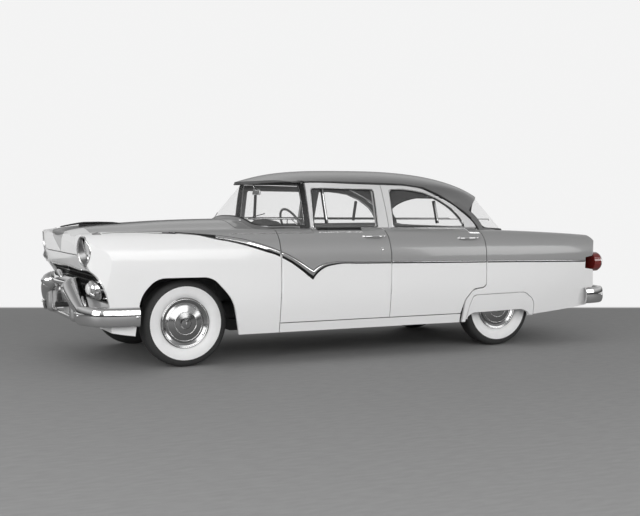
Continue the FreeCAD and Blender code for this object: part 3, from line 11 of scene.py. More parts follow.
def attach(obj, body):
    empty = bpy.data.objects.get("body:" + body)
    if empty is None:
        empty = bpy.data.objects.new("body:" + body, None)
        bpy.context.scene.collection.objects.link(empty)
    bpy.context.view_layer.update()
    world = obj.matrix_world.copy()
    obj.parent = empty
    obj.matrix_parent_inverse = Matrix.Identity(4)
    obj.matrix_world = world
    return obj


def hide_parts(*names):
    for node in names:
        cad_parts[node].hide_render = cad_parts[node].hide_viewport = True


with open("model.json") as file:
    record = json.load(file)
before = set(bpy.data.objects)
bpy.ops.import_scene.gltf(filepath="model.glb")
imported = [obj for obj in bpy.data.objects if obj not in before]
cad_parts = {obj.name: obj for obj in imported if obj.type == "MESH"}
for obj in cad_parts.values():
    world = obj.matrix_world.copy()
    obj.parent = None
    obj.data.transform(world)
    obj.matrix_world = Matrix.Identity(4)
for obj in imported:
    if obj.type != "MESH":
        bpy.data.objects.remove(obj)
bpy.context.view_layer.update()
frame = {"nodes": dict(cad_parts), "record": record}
NODES = frame["nodes"]

# The working frame: x rearward from the front axle, y to the right, z up, in millimetres.
MM = 0.001
WHEELBASE = 2934
FRONT_OVERHANG = 878
REAR_OVERHANG = 1230
HALF = 964
TALL = 1565
WHEEL_LEVEL = 343
SHIFT_X = (FRONT_OVERHANG - WHEELBASE - REAR_OVERHANG) / 2


def scene_x(x):
    """An x of the working frame in the scene's metres."""
    return (x + SHIFT_X) * MM


def spot(x, y, z):
    """A point of the working frame in the scene's metres."""
    return Vector((scene_x(x), y * MM, z * MM))


def move(x, y, z):
    """A step given in millimetres, in the scene's metres."""
    return Vector((x, y, z)) * MM


# Materials


def linear(grey):
    """The linear value of a display grey from 0 to 255."""
    share = grey / 255
    return share / 12.92 if share <= 0.04045 else ((share + 0.055) / 1.055) ** 2.4


class Shader:
    """A material under construction: its nodes are added and linked through short calls."""

    def __init__(self, name):
        self.material = bpy.data.materials.new(name)
        self.material.use_nodes = True
        self.tree = self.material.node_tree
        self.bsdf = self.tree.nodes["Principled BSDF"]

    def feed(self, socket, value):
        """Sets a socket to a constant, or links a node's output to it."""
        if isinstance(value, (int, float, tuple)):
            socket.default_value = value
        else:
            self.tree.links.new(value, socket)

    def add(self, kind, **settings):
        """A new node with its settings."""
        node = self.tree.nodes.new(kind)
        for key, value in settings.items():
            setattr(node, key, value)
        return node

    def math(self, operation, a, b=None):
        """One sum or comparison."""
        node = self.add("ShaderNodeMath", operation=operation)
        self.feed(node.inputs[0], a)
        if b is not None:
            self.feed(node.inputs[1], b)
        return node.outputs[0]

    def split(self, vector):
        """A vector's x, y and z."""
        node = self.add("ShaderNodeSeparateXYZ")
        self.feed(node.inputs[0], vector)
        return node.outputs

    def place(self):
        """The point in the scene's metres."""
        return self.add("ShaderNodeTexCoord").outputs["Object"]

    def noise(self, scale, detail=3.0, stretch=(1, 1, 1)):
        """Noise from 0 to 1 that stays fixed to the point."""
        mapping = self.add("ShaderNodeMapping")
        self.feed(mapping.inputs[0], self.place())
        self.feed(mapping.inputs["Scale"], stretch)
        texture = self.add("ShaderNodeTexNoise")
        for key, value in (("Vector", mapping.outputs[0]), ("Scale", scale), ("Detail", detail)):
            self.feed(texture.inputs[key], value)
        return texture.outputs["Fac"]

    def span(self, value, low, high, start=0.0, end=1.0):
        """value from start..end turned into low..high."""
        node = self.add("ShaderNodeMapRange")
        for socket, given in zip(node.inputs, (value, start, end, low, high)):
            self.feed(socket, given)
        return node.outputs[0]

    def grey(self, value):
        """A colour with value in every channel."""
        node = self.add("ShaderNodeCombineColor")
        for socket in node.inputs:
            self.feed(socket, value)
        return node.outputs[0]

    def mix(self, share, a, b, blend="MIX"):
        """The colour a where share is 0, and b blended over it where share is 1."""
        node = self.add("ShaderNodeMix", data_type="RGBA", blend_type=blend)
        for index, value in ((0, share), (6, a), (7, b)):
            self.feed(node.inputs[index], value)
        return node.outputs[2]

    def set(self, **values):
        """Feeds the surface's sockets; an underscore stands for a space."""
        for key, value in values.items():
            self.feed(self.bsdf.inputs[key.replace("_", " ")], value)

    def bump(self, height, strength, distance):
        """Relief from a height."""
        node = self.add("ShaderNodeBump")
        for key, value in (("Strength", strength), ("Distance", distance), ("Height", height)):
            self.feed(node.inputs[key], value)
        self.feed(self.bsdf.inputs["Normal"], node.outputs[0])


def solid(grey):
    """A display grey as a colour."""
    return (linear(grey),) * 3 + (1.0,)


# The paints' and trims' display greys.
WHITE = 232
BAND = 143
HOOD = 140
ROOF = 98
FRAME = 205
TRIM = 118
# The darkest and the lightest share of a paint's cloud.
CLOUD = (0.985, 1.015)


def paint_finish(shader):
    """Lacquer: a clear coat over paint with the faintest waviness."""
    peel_scale, peel_depth = 420.0, 0.4 * MM
    shader.set(Roughness=shader.span(shader.noise(35.0), 0.30, 0.38))
    shader.set(Coat_Weight=0.7, Coat_Roughness=0.06)
    shader.bump(shader.noise(peel_scale, 2.0), 0.02, peel_depth)
    return shader.material


def plain_paint(name, grey):
    """One colour with a slight cloud in it."""
    shader = Shader(name)
    value = shader.span(shader.noise(2.5, 2.0), *(linear(grey) * share for share in CLOUD))
    shader.set(Base_Color=shader.grey(value))
    return paint_finish(shader)


# The side moulding seen from the side: its upper edge's x and height, then its lower edge's.
STRIPE = [
    (-645, 1062, -645, 1055), (-400, 1063, -400, 1054), (-205, 1061, -210, 1044), (38, 1044, 27, 1019),
    (224, 1027, 213, 996), (341, 1012, 331, 974), (460, 991, 450, 944), (539, 970, 530, 920),
    (626, 942, 621, 891), (712, 911, 709, 863), (825, 859, 824, 804), (911, 810, 911, 746),
    (981, 765, 982, 691), (1029, 738, 1022, 661),
    (1070, 767, 1070, 716), (1142, 792, 1142, 760), (1241, 802, 1241, 778), (1314, 802, 1314, 783),
    (1452, 797, 1452, 779), (1705, 793, 1705, 775), (2321, 782, 2321, 764), (2840, 774, 2840, 756),
    (3281, 765, 3281, 747), (3695, 756, 3695, 738), (3868, 752, 3868, 734),
]
BAND_LINE = [(-900, 1058)] + [((a + c) / 2, (b + d) / 2) for a, b, c, d in STRIPE] + [(4100, 738)]


def band_height(shader, x):
    """The height of the colour line at x, by straight runs between the table's points."""
    total = None
    for (x0, z0), (x1, z1) in zip(BAND_LINE, BAND_LINE[1:]):
        run = shader.span(x, 0.0, (z1 - z0) * MM, scene_x(x0), scene_x(x1))
        total = run if total is None else shader.math("ADD", total, run)
    return shader.math("ADD", total, BAND_LINE[0][1] * MM)


# A door is a window frame above the belt, and trim where its normal points this far inward.
BELT = 1066
FACING_IN = -0.35


def two_tone(name, side=0):
    """White below the side's line, grey above it, pale window frames and trim on the inner faces."""
    shader = Shader(name)
    x, _, z = shader.split(shader.place())
    above = shader.math("SUBTRACT", z, band_height(shader, x))
    share = shader.math("GREATER_THAN", above, 0.0)
    value = shader.mix(share, solid(WHITE), solid(BAND))
    if side:
        frames = shader.math("GREATER_THAN", z, BELT * MM)
        value = shader.mix(frames, value, solid(FRAME))
        normal = shader.split(shader.add("ShaderNodeNewGeometry").outputs["Normal"])
        inner = shader.math("LESS_THAN", shader.math("MULTIPLY", normal[1], side), FACING_IN)
        value = shader.mix(inner, value, solid(TRIM))
    cloud = shader.grey(shader.span(shader.noise(2.5, 2.0), *CLOUD))
    shader.set(Base_Color=shader.mix(1.0, value, cloud, "MULTIPLY"))
    return paint_finish(shader)


# The V on the hood: its tip's height, its half width to each unit of height, and its rear end's x.
V_TIP = 886
V_SPREAD = 1.42
V_REAR = -668


def hood_paint(name):
    """Grey hood whose nose is white outside a V that runs forward to its tip."""
    shader = Shader(name)
    x, y, z = shader.split(shader.place())
    side = shader.math("ABSOLUTE", y)
    reach = shader.math("MULTIPLY", shader.math("SUBTRACT", z, V_TIP * MM), V_SPREAD)
    share = shader.math("LESS_THAN", side, reach)
    behind = shader.math("GREATER_THAN", x, scene_x(V_REAR))
    grey = shader.math("MAXIMUM", share, behind)
    shader.set(Base_Color=shader.mix(grey, solid(WHITE), solid(HOOD)))
    return paint_finish(shader)


def metal(name, grey, low, high, scale, bump=0.0):
    """Bare or plated metal: its roughness wanders between low and high."""
    shader = Shader(name)
    shader.set(Metallic=1.0, Base_Color=solid(grey))
    shader.set(Roughness=shader.span(shader.noise(scale), low, high))
    if bump:
        shader.bump(shader.noise(scale * 6), bump, 0.5 * MM)
    return shader.material


def rough(name, grey, low, high, scale, bump, coat=0.0):
    """A grained surface: plastic, rubber, rough paint or board."""
    shader = Shader(name)
    cloud = shader.span(shader.noise(scale, 4.0), linear(grey) * 0.85, linear(grey) * 1.15)
    shader.set(Base_Color=shader.grey(cloud), Roughness=shader.span(shader.noise(scale * 0.5), low, high))
    if coat:
        shader.set(Coat_Weight=coat)
    shader.bump(shader.noise(scale * 4), bump, MM)
    return shader.material


def pane(name, grey, alpha):
    """Thin clear glass with a slight unevenness in its gloss."""
    shader = Shader(name)
    shader.set(Base_Color=solid(grey), Alpha=alpha)
    shader.set(Roughness=shader.span(shader.noise(8.0), 0.0, 0.03))
    return shader.material


def lens(name, colour):
    """Pressed lamp glass with upright flutes."""
    flutes, depth = 700.0, 2 * MM
    shader = Shader(name)
    wave = shader.math("SINE", shader.math("MULTIPLY", shader.split(shader.place())[1], flutes))
    shader.set(Base_Color=colour, Roughness=shader.span(shader.noise(40.0), 0.05, 0.12), Coat_Weight=1.0)
    shader.bump(wave, 0.25, depth)
    return shader.material


WHITEWALL_RADIUS = 288
WHITEWALL_Y = 730


def tyre_rubber(name, centre_x, side):
    """Black rubber with a wide white band on the outer side."""
    shader = Shader(name)
    x, y, z = shader.split(shader.place())
    dx = shader.math("SUBTRACT", x, scene_x(centre_x))
    dz = shader.math("SUBTRACT", z, WHEEL_LEVEL * MM)
    square = shader.math("ADD", shader.math("MULTIPLY", dx, dx), shader.math("MULTIPLY", dz, dz))
    radius = shader.math("SQRT", square)
    inside = shader.math("LESS_THAN", radius, WHITEWALL_RADIUS * MM)
    outer = shader.math("GREATER_THAN", shader.math("MULTIPLY", y, side), WHITEWALL_Y * MM)
    share = shader.math("MULTIPLY", inside, outer)
    dust = shader.span(shader.noise(60.0, 5.0), 0.8, 1.2)
    black = shader.grey(shader.math("MULTIPLY", dust, linear(42)))
    white = shader.grey(shader.span(shader.noise(20.0), linear(226), linear(238)))
    shader.set(Base_Color=shader.mix(share, black, white))
    shader.set(Roughness=shader.span(shader.noise(90.0), 0.55, 0.8))
    rings = shader.math("SINE", shader.math("MULTIPLY", radius, 1500.0))
    shader.bump(rings, 0.05, 0.6 * MM)
    return shader.material


def cloth(name, grey):
    """Woven seat cloth."""
    shader = Shader(name)
    waves = []
    for turn in ("X", "Y"):
        wave = shader.add("ShaderNodeTexWave", bands_direction=turn)
        for key, value in (("Vector", shader.place()), ("Scale", 140.0), ("Distortion", 1.5)):
            shader.feed(wave.inputs[key], value)
        waves.append(wave.outputs["Fac"])
    weave = shader.math("MULTIPLY", waves[0], waves[1])
    shader.set(Base_Color=shader.grey(shader.span(weave, linear(grey) * 0.7, linear(grey) * 1.2)))
    shader.set(Roughness=0.85, Sheen_Weight=0.3)
    shader.bump(weave, 0.3, 0.8 * MM)
    return shader.material


SIDE_PAINT = two_tone("side_paint")
DOOR_PAINT = {"left": two_tone("left_door_paint", -1), "right": two_tone("right_door_paint", 1)}
WHITE_PAINT = plain_paint("white_paint", WHITE)
GREY_PAINT = plain_paint("grey_paint", HOOD)
ROOF_PAINT = plain_paint("roof_paint", ROOF)
HOOD_PAINT = hood_paint("hood_paint")
CHROME = metal("chrome_plate", 225, 0.03, 0.10, 12.0)
DULL_CHROME = metal("satin_chrome", 190, 0.16, 0.30, 30.0)
BLACK_STEEL = rough("black_steel", 40, 0.45, 0.7, 30.0, 0.15)
CAST_GREY = rough("cast_grey", 90, 0.5, 0.8, 50.0, 0.3)
EXHAUST_STEEL = metal("exhaust_steel", 120, 0.4, 0.6, 30.0, 0.2)
DASH_PAINT = plain_paint("dash_paint", 110)
SEAT_CLOTH = cloth("seat_cloth", 105)
WHEEL_RIM = rough("wheel_rim_plastic", 60, 0.25, 0.35, 30.0, 0.02, coat=0.5)
CLEAR = pane("clear_glass", 200, 0.06)
RUBBER = rough("seal_rubber", 30, 0.5, 0.7, 60.0, 0.1)
HEAD_GLASS = lens("lamp_glass", solid(215))
COVER_METAL = metal("cover_metal", 165, 0.10, 0.18, 20.0)
GRILLE_METAL = metal("grille_metal", 70, 0.30, 0.45, 40.0)
LINING = metal("lamp_lining", 150, 0.25, 0.35, 30.0)
DARK_METAL = metal("dark_metal", 62, 0.22, 0.34, 30.0)
PLATE_PAINT = plain_paint("plate_paint", 205)
TRIM_PANEL = rough("trim_panel", 100, 0.6, 0.8, 120.0, 0.2)
DASH_DARK = rough("dash_top", 48, 0.5, 0.7, 90.0, 0.15)
TAIL_GLASS = lens("tail_glass", (0.16, 0.012, 0.010, 1.0))

LOOKS = {
    "roof": ROOF_PAINT, "fixed_glass": CLEAR, "nose_panel": WHITE_PAINT, "grille": GRILLE_METAL,
    "headlamps": HEAD_GLASS, "cowl": GREY_PAINT, "rear_body": SIDE_PAINT, "fender_skirts": WHITE_PAINT,
    "tail_lamps": TAIL_GLASS, "front_bumper": CHROME, "rear_bumper": CHROME,
    "front_suspension": BLACK_STEEL, "rear_axle": BLACK_STEEL, "frame": BLACK_STEEL,
    "floor_pan": BLACK_STEEL, "steering_column": WHEEL_RIM, "dashboard": DASH_PAINT,
    "front_seat": SEAT_CLOTH, "rear_seat": SEAT_CLOTH, "engine": CAST_GREY, "radiator": BLACK_STEEL,
    "fuel_tank": BLACK_STEEL, "exhaust": EXHAUST_STEEL, "hood": HOOD_PAINT, "boot_lid": GREY_PAINT,
    "steering_wheel": WHEEL_RIM,
}
SIDES = (("left", -1), ("right", 1))
for side, sign in SIDES:
    LOOKS[f"fender_front_{side}"] = SIDE_PAINT
    LOOKS[f"body_side_{side}"] = WHITE_PAINT
    LOOKS[f"knuckle_{side}"] = BLACK_STEEL
    for row, x in (("front", 0), ("rear", WHEELBASE)):
        LOOKS[f"door_{row}_{side}"] = DOOR_PAINT[side]
        LOOKS[f"window_{row}_{side}"] = CLEAR
        LOOKS[f"wheel_{row}_{side}"] = COVER_METAL
        LOOKS[f"tyre_{row}_{side}"] = tyre_rubber(f"tyre_{row}_{side}_rubber", x, sign)


def dress(mesh, material):
    """One material on a mesh, and smooth shading."""
    mesh.materials.clear()
    mesh.materials.append(material)
    for polygon in mesh.polygons:
        polygon.use_smooth = True
        polygon.material_index = 0


for name, node in NODES.items():
    dress(node.data, LOOKS[name])

# The windshield posts are painted dark: the roof's faces between two stations and under the header. This
# dark is painted shade on the posts, together with the dark of their rubber.
POST_RANGE = (995, 1075)
POST_TOP = 1438
roof_mesh = NODES["roof"].data
roof_mesh.materials.append(DARK_METAL)
for polygon in roof_mesh.polygons:
    in_range = scene_x(POST_RANGE[0]) < polygon.center.x < scene_x(POST_RANGE[1])
    if in_range and polygon.center.z < POST_TOP * MM:
        polygon.material_index = 1

# Helpers for added pieces

HOME = {node: body for body, members in frame["record"]["behaviour"]["bodies"].items() for node in members}
GRAPH = bpy.context.evaluated_depsgraph_get()
TREES = {name: BVHTree.FromObject(node, GRAPH) for name, node in NODES.items()}
# Where rays start: beside, ahead of, behind and above the car.
REACH = 1200
AHEAD = -1500
BEHIND = 4600
ABOVE = 2000
# The radius at which a turned profile ends in a point.
POINT = 0.01
UP = Vector((0, 0, 1))
REARWARD = Vector((1, 0, 0))
FORWARD = -REARWARD


def linked(name, data):
    """A new object of a mesh, a lamp or a camera in the scene."""
    piece = bpy.data.objects.new(name, data)
    bpy.context.scene.collection.objects.link(piece)
    return piece


def mesh_of(name, builder):
    """The mesh of a finished builder."""
    mesh = bpy.data.meshes.new(name)
    builder.to_mesh(mesh)
    builder.free()
    return mesh


def settled(name, mesh, material, body):
    """A new piece of a mesh, in its material and riding on a body."""
    dress(mesh, material)
    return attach(linked(name, mesh), body)


def prism(near, far):
    """A block between two outlines with as many points, under construction."""
    builder = bmesh.new()
    near = [builder.verts.new(p) for p in near]
    far = [builder.verts.new(p) for p in far]
    builder.faces.new(near)
    builder.faces.new(list(reversed(far)))
    for i in range(len(near)):
        j = (i + 1) % len(near)
        builder.faces.new((near[j], near[i], far[i], far[j]))
    bmesh.ops.recalc_face_normals(builder, faces=builder.faces)
    return builder


def put(name, points, faces, material, body):
    """A mesh piece from faces and points in the scene's metres."""
    draft = bpy.data.meshes.new("draft")
    draft.from_pydata([tuple(p) for p in points], [], faces)
    builder = bmesh.new()
    builder.from_mesh(draft)
    bpy.data.meshes.remove(draft)
    bmesh.ops.recalc_face_normals(builder, faces=builder.faces)
    return settled(name, mesh_of(name, builder), material, body)


def grid_faces(rows, across, closed=False):
    """Faces between rows of points, each row with the same number across."""
    faces = []
    for i in range(rows - 1):
        for j in range(across if closed else across - 1):
            a, b = i * across + j, i * across + (j + 1) % across
            faces.append((a, b, b + across, a + across))
    return faces


def end_faces(rows, across):
    """The two faces that close the first and the last of rows of points."""
    return [tuple(range(across)), tuple(range((rows - 1) * across, rows * across))]


def circle(count):
    """The cosine and sine of evenly spaced turns."""
    turns = [2 * math.pi * j / count for j in range(count)]
    return [(math.cos(turn), math.sin(turn)) for turn in turns]


def tube(name, path, radius, material, body, sides=10, closed=False, flat=1.0):
    """A rod along a path. radius is in metres, one number or one per point."""
    count = len(path)
    radii = radius if isinstance(radius, (list, tuple)) else [radius] * count
    points = []
    up = None
    for i, centre in enumerate(path):
        before = path[(i - 1) % count] if closed or i else path[0]
        after = path[(i + 1) % count] if closed or i < count - 1 else path[-1]
        along = (after - before).normalized()
        if up is None:
            up = UP if abs(along.z) < 0.9 else REARWARD
        across = along.cross(up).normalized()
        up = across.cross(along).normalized()
        for cosine, sine in circle(sides):
            points.append(centre + (across * cosine * flat + up * sine) * radii[i])
    if closed:
        rings = grid_faces(count + 1, sides, closed=True)
        faces = [tuple(i % len(points) for i in face) for face in rings]
    else:
        faces = grid_faces(count, sides, closed=True) + end_faces(count, sides)
    return put(name, points, faces, material, body)


def lathe(name, profile, centre, axis, material, body, sides=48, squash=(1.0, 1.0)):
    """A turned piece: its profile is pairs of radius and distance along the axis, in millimetres."""
    axis = Vector(axis).normalized()
    up = UP if abs(axis.z) < 0.9 else REARWARD
    across = axis.cross(up).normalized()
    up = across.cross(axis).normalized()
    points = []
    for radius, along in profile:
        for cosine, sine in circle(sides):
            offset = across * cosine * squash[0] + up * sine * squash[1]
            points.append(centre + (offset * radius + axis * along) * MM)
    faces = grid_faces(len(profile), sides, closed=True)
    for row in (0, len(profile) - 1):
        if profile[row][0] > POINT:
            faces.append(tuple(range(row * sides, (row + 1) * sides)))
    return put(name, points, faces, material, body)


def box_piece(name, centre, size, material, body, bevel, turn=None):
    """A block with rounded edges: its centre in metres, its size and bevel in millimetres."""
    builder = bmesh.new()
    bmesh.ops.create_cube(builder, size=1.0)
    for vertex in builder.verts:
        vertex.co = move(vertex.co.x * size[0], vertex.co.y * size[1], vertex.co.z * size[2])
    bmesh.ops.bevel(
        builder, geom=builder.edges[:], offset=bevel * MM, segments=3, affect="EDGES", profile=0.5)
    matrix = Matrix.Translation(centre) @ (turn.to_4x4() if turn else Matrix.Identity(4))
    bmesh.ops.transform(builder, matrix=matrix, verts=builder.verts)
    return settled(name, mesh_of(name, builder), material, body)


def first_hit(names, start, direction):
    """Where a ray first meets the named nodes: the node, the point, its normal and the distance."""
    best = None
    for name in names:
        point, normal, _, distance = TREES[name].ray_cast(start, direction)
        if point is not None and (best is None or distance < best[3]):
            best = (name, point, normal if normal.dot(direction) < 0 else -normal, distance)
    return best


def side_hit(names, x, z, sign):
    """Where a level ray from the side first meets the named nodes."""
    return first_hit(names, spot(x, sign * REACH, z), Vector((0, -sign, 0)))


def front_hit(names, y, z):
    """Where a level ray from the front first meets the named nodes."""
    return first_hit(names, spot(AHEAD, y, z), REARWARD)


def rear_hit(names, y, z):
    """Where a level ray from the rear first meets the named nodes."""
    return first_hit(names, spot(BEHIND, y, z), FORWARD)


def skin_down(names, x, y):
    """The top of the named nodes at x and y."""
    return first_hit(names, spot(x, y, ABOVE), -UP)[1]


def nearest(names, point):
    """The nearest point of the named nodes: the node, the point, its normal and the distance."""
    best = None
    for name in names:
        place, normal, _, distance = TREES[name].find_nearest(point)
        if place is not None and (best is None or distance < best[3]):
            best = (name, place, normal, distance)
    return best


def resample(rows, step):
    """Rows of numbers spaced so that their first two run at most step apart."""
    out = []
    for a, b in zip(rows, rows[1:]):
        count = max(1, math.ceil(math.dist(a[:2], b[:2]) / step))
        out += [tuple(p + (q - p) * i / count for p, q in zip(a, b)) for i in range(count)]
    return out + [rows[-1]]


def eased(rows, corners=()):
    """A smooth curve through rows, with sharp turns kept at the numbered ones."""
    out = []
    for i in range(len(rows) - 1):
        p0 = rows[i - 1] if i > 0 and i not in corners else rows[i]
        p3 = rows[i + 2] if i + 2 < len(rows) and i + 1 not in corners else rows[i + 1]
        for k in range(8):
            t = k / 8
            row = []
            for a, b, c, d in zip(p0, rows[i], rows[i + 1], p3):
                curve = (2 * a - 5 * b + 4 * c - d) * t * t + (3 * b - a - 3 * c + d) * t ** 3
                row.append(0.5 * (2 * b + (c - a) * t + curve))
            out.append(tuple(row))
    return out + [rows[-1]]


def eased_path(points):
    """A smooth path of vectors through points."""
    return [Vector(p) for p in eased([tuple(p) for p in points])]


# Side moulding: a dark strip along the colour line, with a bright band on it. The strip's dark metal is a
# painted reflection: it stands for the dark that the chrome moulding mirrors.

# How far out the front fender's crown lies, by station.
CROWN = [(-700, 770), (-560, 782), (-388, 800), (-213, 842), (38, 880), (340, 905)]
# Height of each moulding's face at shares of its width from the top edge.
BRIGHT_FACE = [
    (0.0, -2.0), (0.0, 2.0), (0.10, 4.5), (0.38, 6.0), (0.52, 5.0), (0.85, 2.6), (1.0, 1.6), (1.0, -2.0),
]
STRIP_FACE = [(0.0, -2.0), (0.0, 1.5), (0.5, 2.5), (1.0, 1.5), (1.0, -2.0)]
BELT_FACE = [(0, -1), (0, 3), (0.5, 5), (1, 3), (1, -1)]
RIBBON_STEP = 7.0
# The rows of the stripe where it dips to its tip and where the bright band starts.
MOULDING_TIP = 13
BRIGHT_START = 4
# The bright band's edges as shares of the stripe's width.
BRIGHT_SHARES = (0.07, 0.66)
# Up to this station the dark strip is a thin line of this height.
THIN_REACH = 200
THIN_LINE = 9


def crown_y(x):
    """How far out the fender's crown lies at x."""
    for (x0, y0), (x1, y1) in zip(CROWN, CROWN[1:]):
        if x <= x1:
            return y0 + (y1 - y0) * max(0.0, (x - x0) / (x1 - x0))
    return CROWN[-1][1]


def on_side(x, z, side, sign):
    """The outer skin at x and z: a level ray, and the nearest skin where the crown turns away."""
    names = [f"fender_front_{side}", f"door_front_{side}", f"door_rear_{side}", "rear_body"]
    hit = side_hit(names, x, z, sign)
    if hit and hit[2].y * sign > 0.45 and abs(hit[1].y) > 0.6:
        return hit
    hit = nearest(names, spot(x, sign * (crown_y(x) + 6), z + 4))
    if abs(hit[1].x - scene_x(x)) > 1.5 * MM or hit[2].y * sign < 0.02 and hit[2].z < 0.5:
        return None
    return hit


def laid_ribbon(label, rows, profile, material, side, sign):
    """A moulding between two edges seen from the side, as one piece per panel that it crosses."""
    across = len(profile)
    runs = []
    for xa, za, xb, zb in resample(rows, RIBBON_STEP):
        hits = [on_side(xa + (xb - xa) * t, za + (zb - za) * t, side, sign) for t, _ in profile]
        owners = {hit[0] for hit in hits if hit}
        if None in hits or len(owners) != 1:
            runs.append(None)
            continue
        points = [hit[1] + hit[2] * lift * MM for hit, (_, lift) in zip(hits, profile)]
        runs.append((owners.pop(), points))
    made = 0
    for owner, group in groupby(runs, key=lambda run: run and run[0]):
        stretch = list(group)
        count = len(stretch)
        if owner and count > 2:
            points = [p for _, row in stretch for p in row]
            faces = grid_faces(count, across) + end_faces(count, across)
            made += 1
            put(f"{label}_{side}_{made}", points, faces, material, HOME[owner])


def between(row, share):
    """The point at a share of the way from a row's upper edge to its lower edge."""
    xa, za, xb, zb = row
    return xa + share * (xb - xa), za + share * (zb - za)


strip = [row if row[0] > THIN_REACH else row[:2] + (row[0], row[1] - THIN_LINE) for row in STRIPE]
band = [between(row, BRIGHT_SHARES[0]) + between(row, BRIGHT_SHARES[1]) for row in STRIPE[BRIGHT_START:]]
for side, sign in SIDES:
    # The dark strip is painted reflection: dark metal in place of the dark that the chrome moulding
    # mirrors.
    laid_ribbon("side_strip", eased(strip, (MOULDING_TIP,)), STRIP_FACE, DARK_METAL, side, sign)
    bright = eased(band, (MOULDING_TIP - BRIGHT_START,))
    laid_ribbon("side_moulding", bright, BRIGHT_FACE, CHROME, side, sign)

# Belt, drip rail and window surrounds

# The belt moulding's line: x and height.
BELT_LINE = [
    (330, 1078), (560, 1074), (760, 1072), (1400, 1070), (2000, 1063), (2400, 1054),
    (2560, 1050), (2680, 1046),
]
BELT_EDGES = (5, -6)
# The drip rail's line: x and height.
DRIP = [
    (860, 1439), (1056, 1449), (1408, 1446), (1769, 1438), (1983, 1432), (2189, 1405), (2321, 1351),
    (2453, 1283), (2594, 1191), (2655, 1138),
]
DRIP_STEP = 25.0
DRIP_RADIUS = 6
WINDOW_FOOT = 1074
# The window openings' outlines: x and height.
OPENINGS = {
    "front": [(1106, WINDOW_FOOT), (1118, 1391), (1693, 1383), (1684, WINDOW_FOOT)],
    "rear": [
        (2561, WINDOW_FOOT), (1848, WINDOW_FOOT), (1860, 1382), (1975, 1382), (2080, 1372), (2180, 1355),
        (2318, 1302), (2447, 1221), (2520, 1140),
    ],
}
CORNER_RADIUS = 22
WINDOW_STEP = 20.0


def ring_round(outline, radius, steps=5):
    """A closed outline with its corners rounded."""
    out = []
    count = len(outline)
    for i, corner in enumerate(outline):
        corner = Vector(corner)
        before, after = Vector(outline[i - 1]), Vector(outline[(i + 1) % count])
        a = corner + (before - corner).normalized() * min(radius, (before - corner).length / 2)
        b = corner + (after - corner).normalized() * min(radius, (after - corner).length / 2)
        for k in range(steps + 1):
            t = k / steps
            out.append(tuple(a * (1 - t) ** 2 + corner * 2 * t * (1 - t) + b * t * t))
    return out


def grown(outline, step):
    """The outline moved outward by step."""
    centre = Vector((sum(p[0] for p in outline) / len(outline), sum(p[1] for p in outline) / len(outline)))
    out = []
    for i, p in enumerate(outline):
        before, after = Vector(outline[i - 1]), Vector(outline[(i + 1) % len(outline)])
        a, b = (Vector(p) - before).normalized(), (after - Vector(p)).normalized()
        normal = Vector((a.y + b.y, -a.x - b.x)).normalized()
        if normal.dot(Vector(p) - centre) < 0:
            normal = -normal
        out.append(tuple(Vector(p) + normal * step))
    return out


def window_bead(label, outline, node, sign, radius, material, inward):
    """A rod that follows a window opening on the door's frame."""
    points = []
    ring = ring_round(outline, CORNER_RADIUS)
    for x, z in resample(ring + ring[:1], WINDOW_STEP)[:-1]:
        hit = side_hit([node], x, z, sign) or nearest([node], spot(x, sign * 780, z))
        points.append(hit[1] - hit[2] * inward * MM)
    tube(label, points, radius * MM, material, HOME[node], 8, closed=True)


def drip_rail(side, sign):
    """The gutter over the doors, down the rear quarter of the roof."""
    rail = []
    for x, z in resample(DRIP, DRIP_STEP):
        hit = side_hit(["roof"], x, z + 8, sign)
        if hit:
            rail.append(hit[1] + move(0, sign * 3, -5))
    tube(f"drip_rail_{side}", rail, DRIP_RADIUS * MM, RUBBER, "car", 8)


for side, sign in SIDES:
    for row, outline in OPENINGS.items():
        node = f"door_{row}_{side}"
        window_bead(f"window_seal_{row}_{side}", grown(outline, 4), node, sign, 5, RUBBER, 1)
        window_bead(f"window_bead_{row}_{side}", grown(outline, 13), node, sign, 3.5, DULL_CHROME, 0)
    drip_rail(side, sign)
    belt = [(x, z + BELT_EDGES[0], x, z + BELT_EDGES[1]) for x, z in BELT_LINE]
    laid_ribbon("belt_moulding", belt, BELT_FACE, DULL_CHROME, side, sign)

# Glass edges and window dividers

CABIN_MIDDLE = spot(1700, 0, 1000)
LOOP_STEP = 22
# Each window divider's top and foot: x and height.
DIVIDERS = (("front", (1211, 1388), (1226, 1071)), ("rear", (2289, 1322), (2291, 1071)))
DIVIDER_LIFT = 13
KEYS_PER_METRE = 20000


def rim_links(node, inside):
    """The edges between a node's outward faces and its rims: places by key, and each key's neighbours."""
    mesh = NODES[node].data
    keys = [tuple(round(c * KEYS_PER_METRE) for c in vertex.co) for vertex in mesh.vertices]
    places = {key: vertex.co.copy() for key, vertex in zip(keys, mesh.vertices)}
    faces = {}
    for polygon in mesh.polygons:
        away = polygon.center - inside
        outward = polygon.normal.dot(away.normalized()) > 0.30
        ring = [keys[i] for i in polygon.vertices]
        for a, b in zip(ring, ring[1:] + ring[:1]):
            if a != b:
                faces.setdefault(frozenset((a, b)), []).append((outward, polygon.normal))
    links = {}
    for edge, sides in faces.items():
        if len(sides) == 2 and sides[0][0] != sides[1][0] and sides[0][1].dot(sides[1][1]) < 0.5:
            a, b = edge
            links.setdefault(a, []).append(b)
            links.setdefault(b, []).append(a)
    return places, links


def outer_loops(node, inside):
    """A node's outer rims as closed lists of points, the longest first."""
    places, links = rim_links(node, inside)
    loops = []
    unseen = set(links)
    while unseen:
        start = unseen.pop()
        run = [start]
        while True:
            onward = [key for key in links[run[-1]] if key in unseen]
            if not onward:
                break
            unseen.discard(onward[0])
            run.append(onward[0])
        loops.append([places[key] for key in run])
    return sorted(loops, key=len, reverse=True)


def thinned(points, step):
    """The points that lie more than step from the one kept before."""
    out = [points[0]]
    for point in points[1:]:
        if (point - out[-1]).length > step:
            out.append(point)
    return out


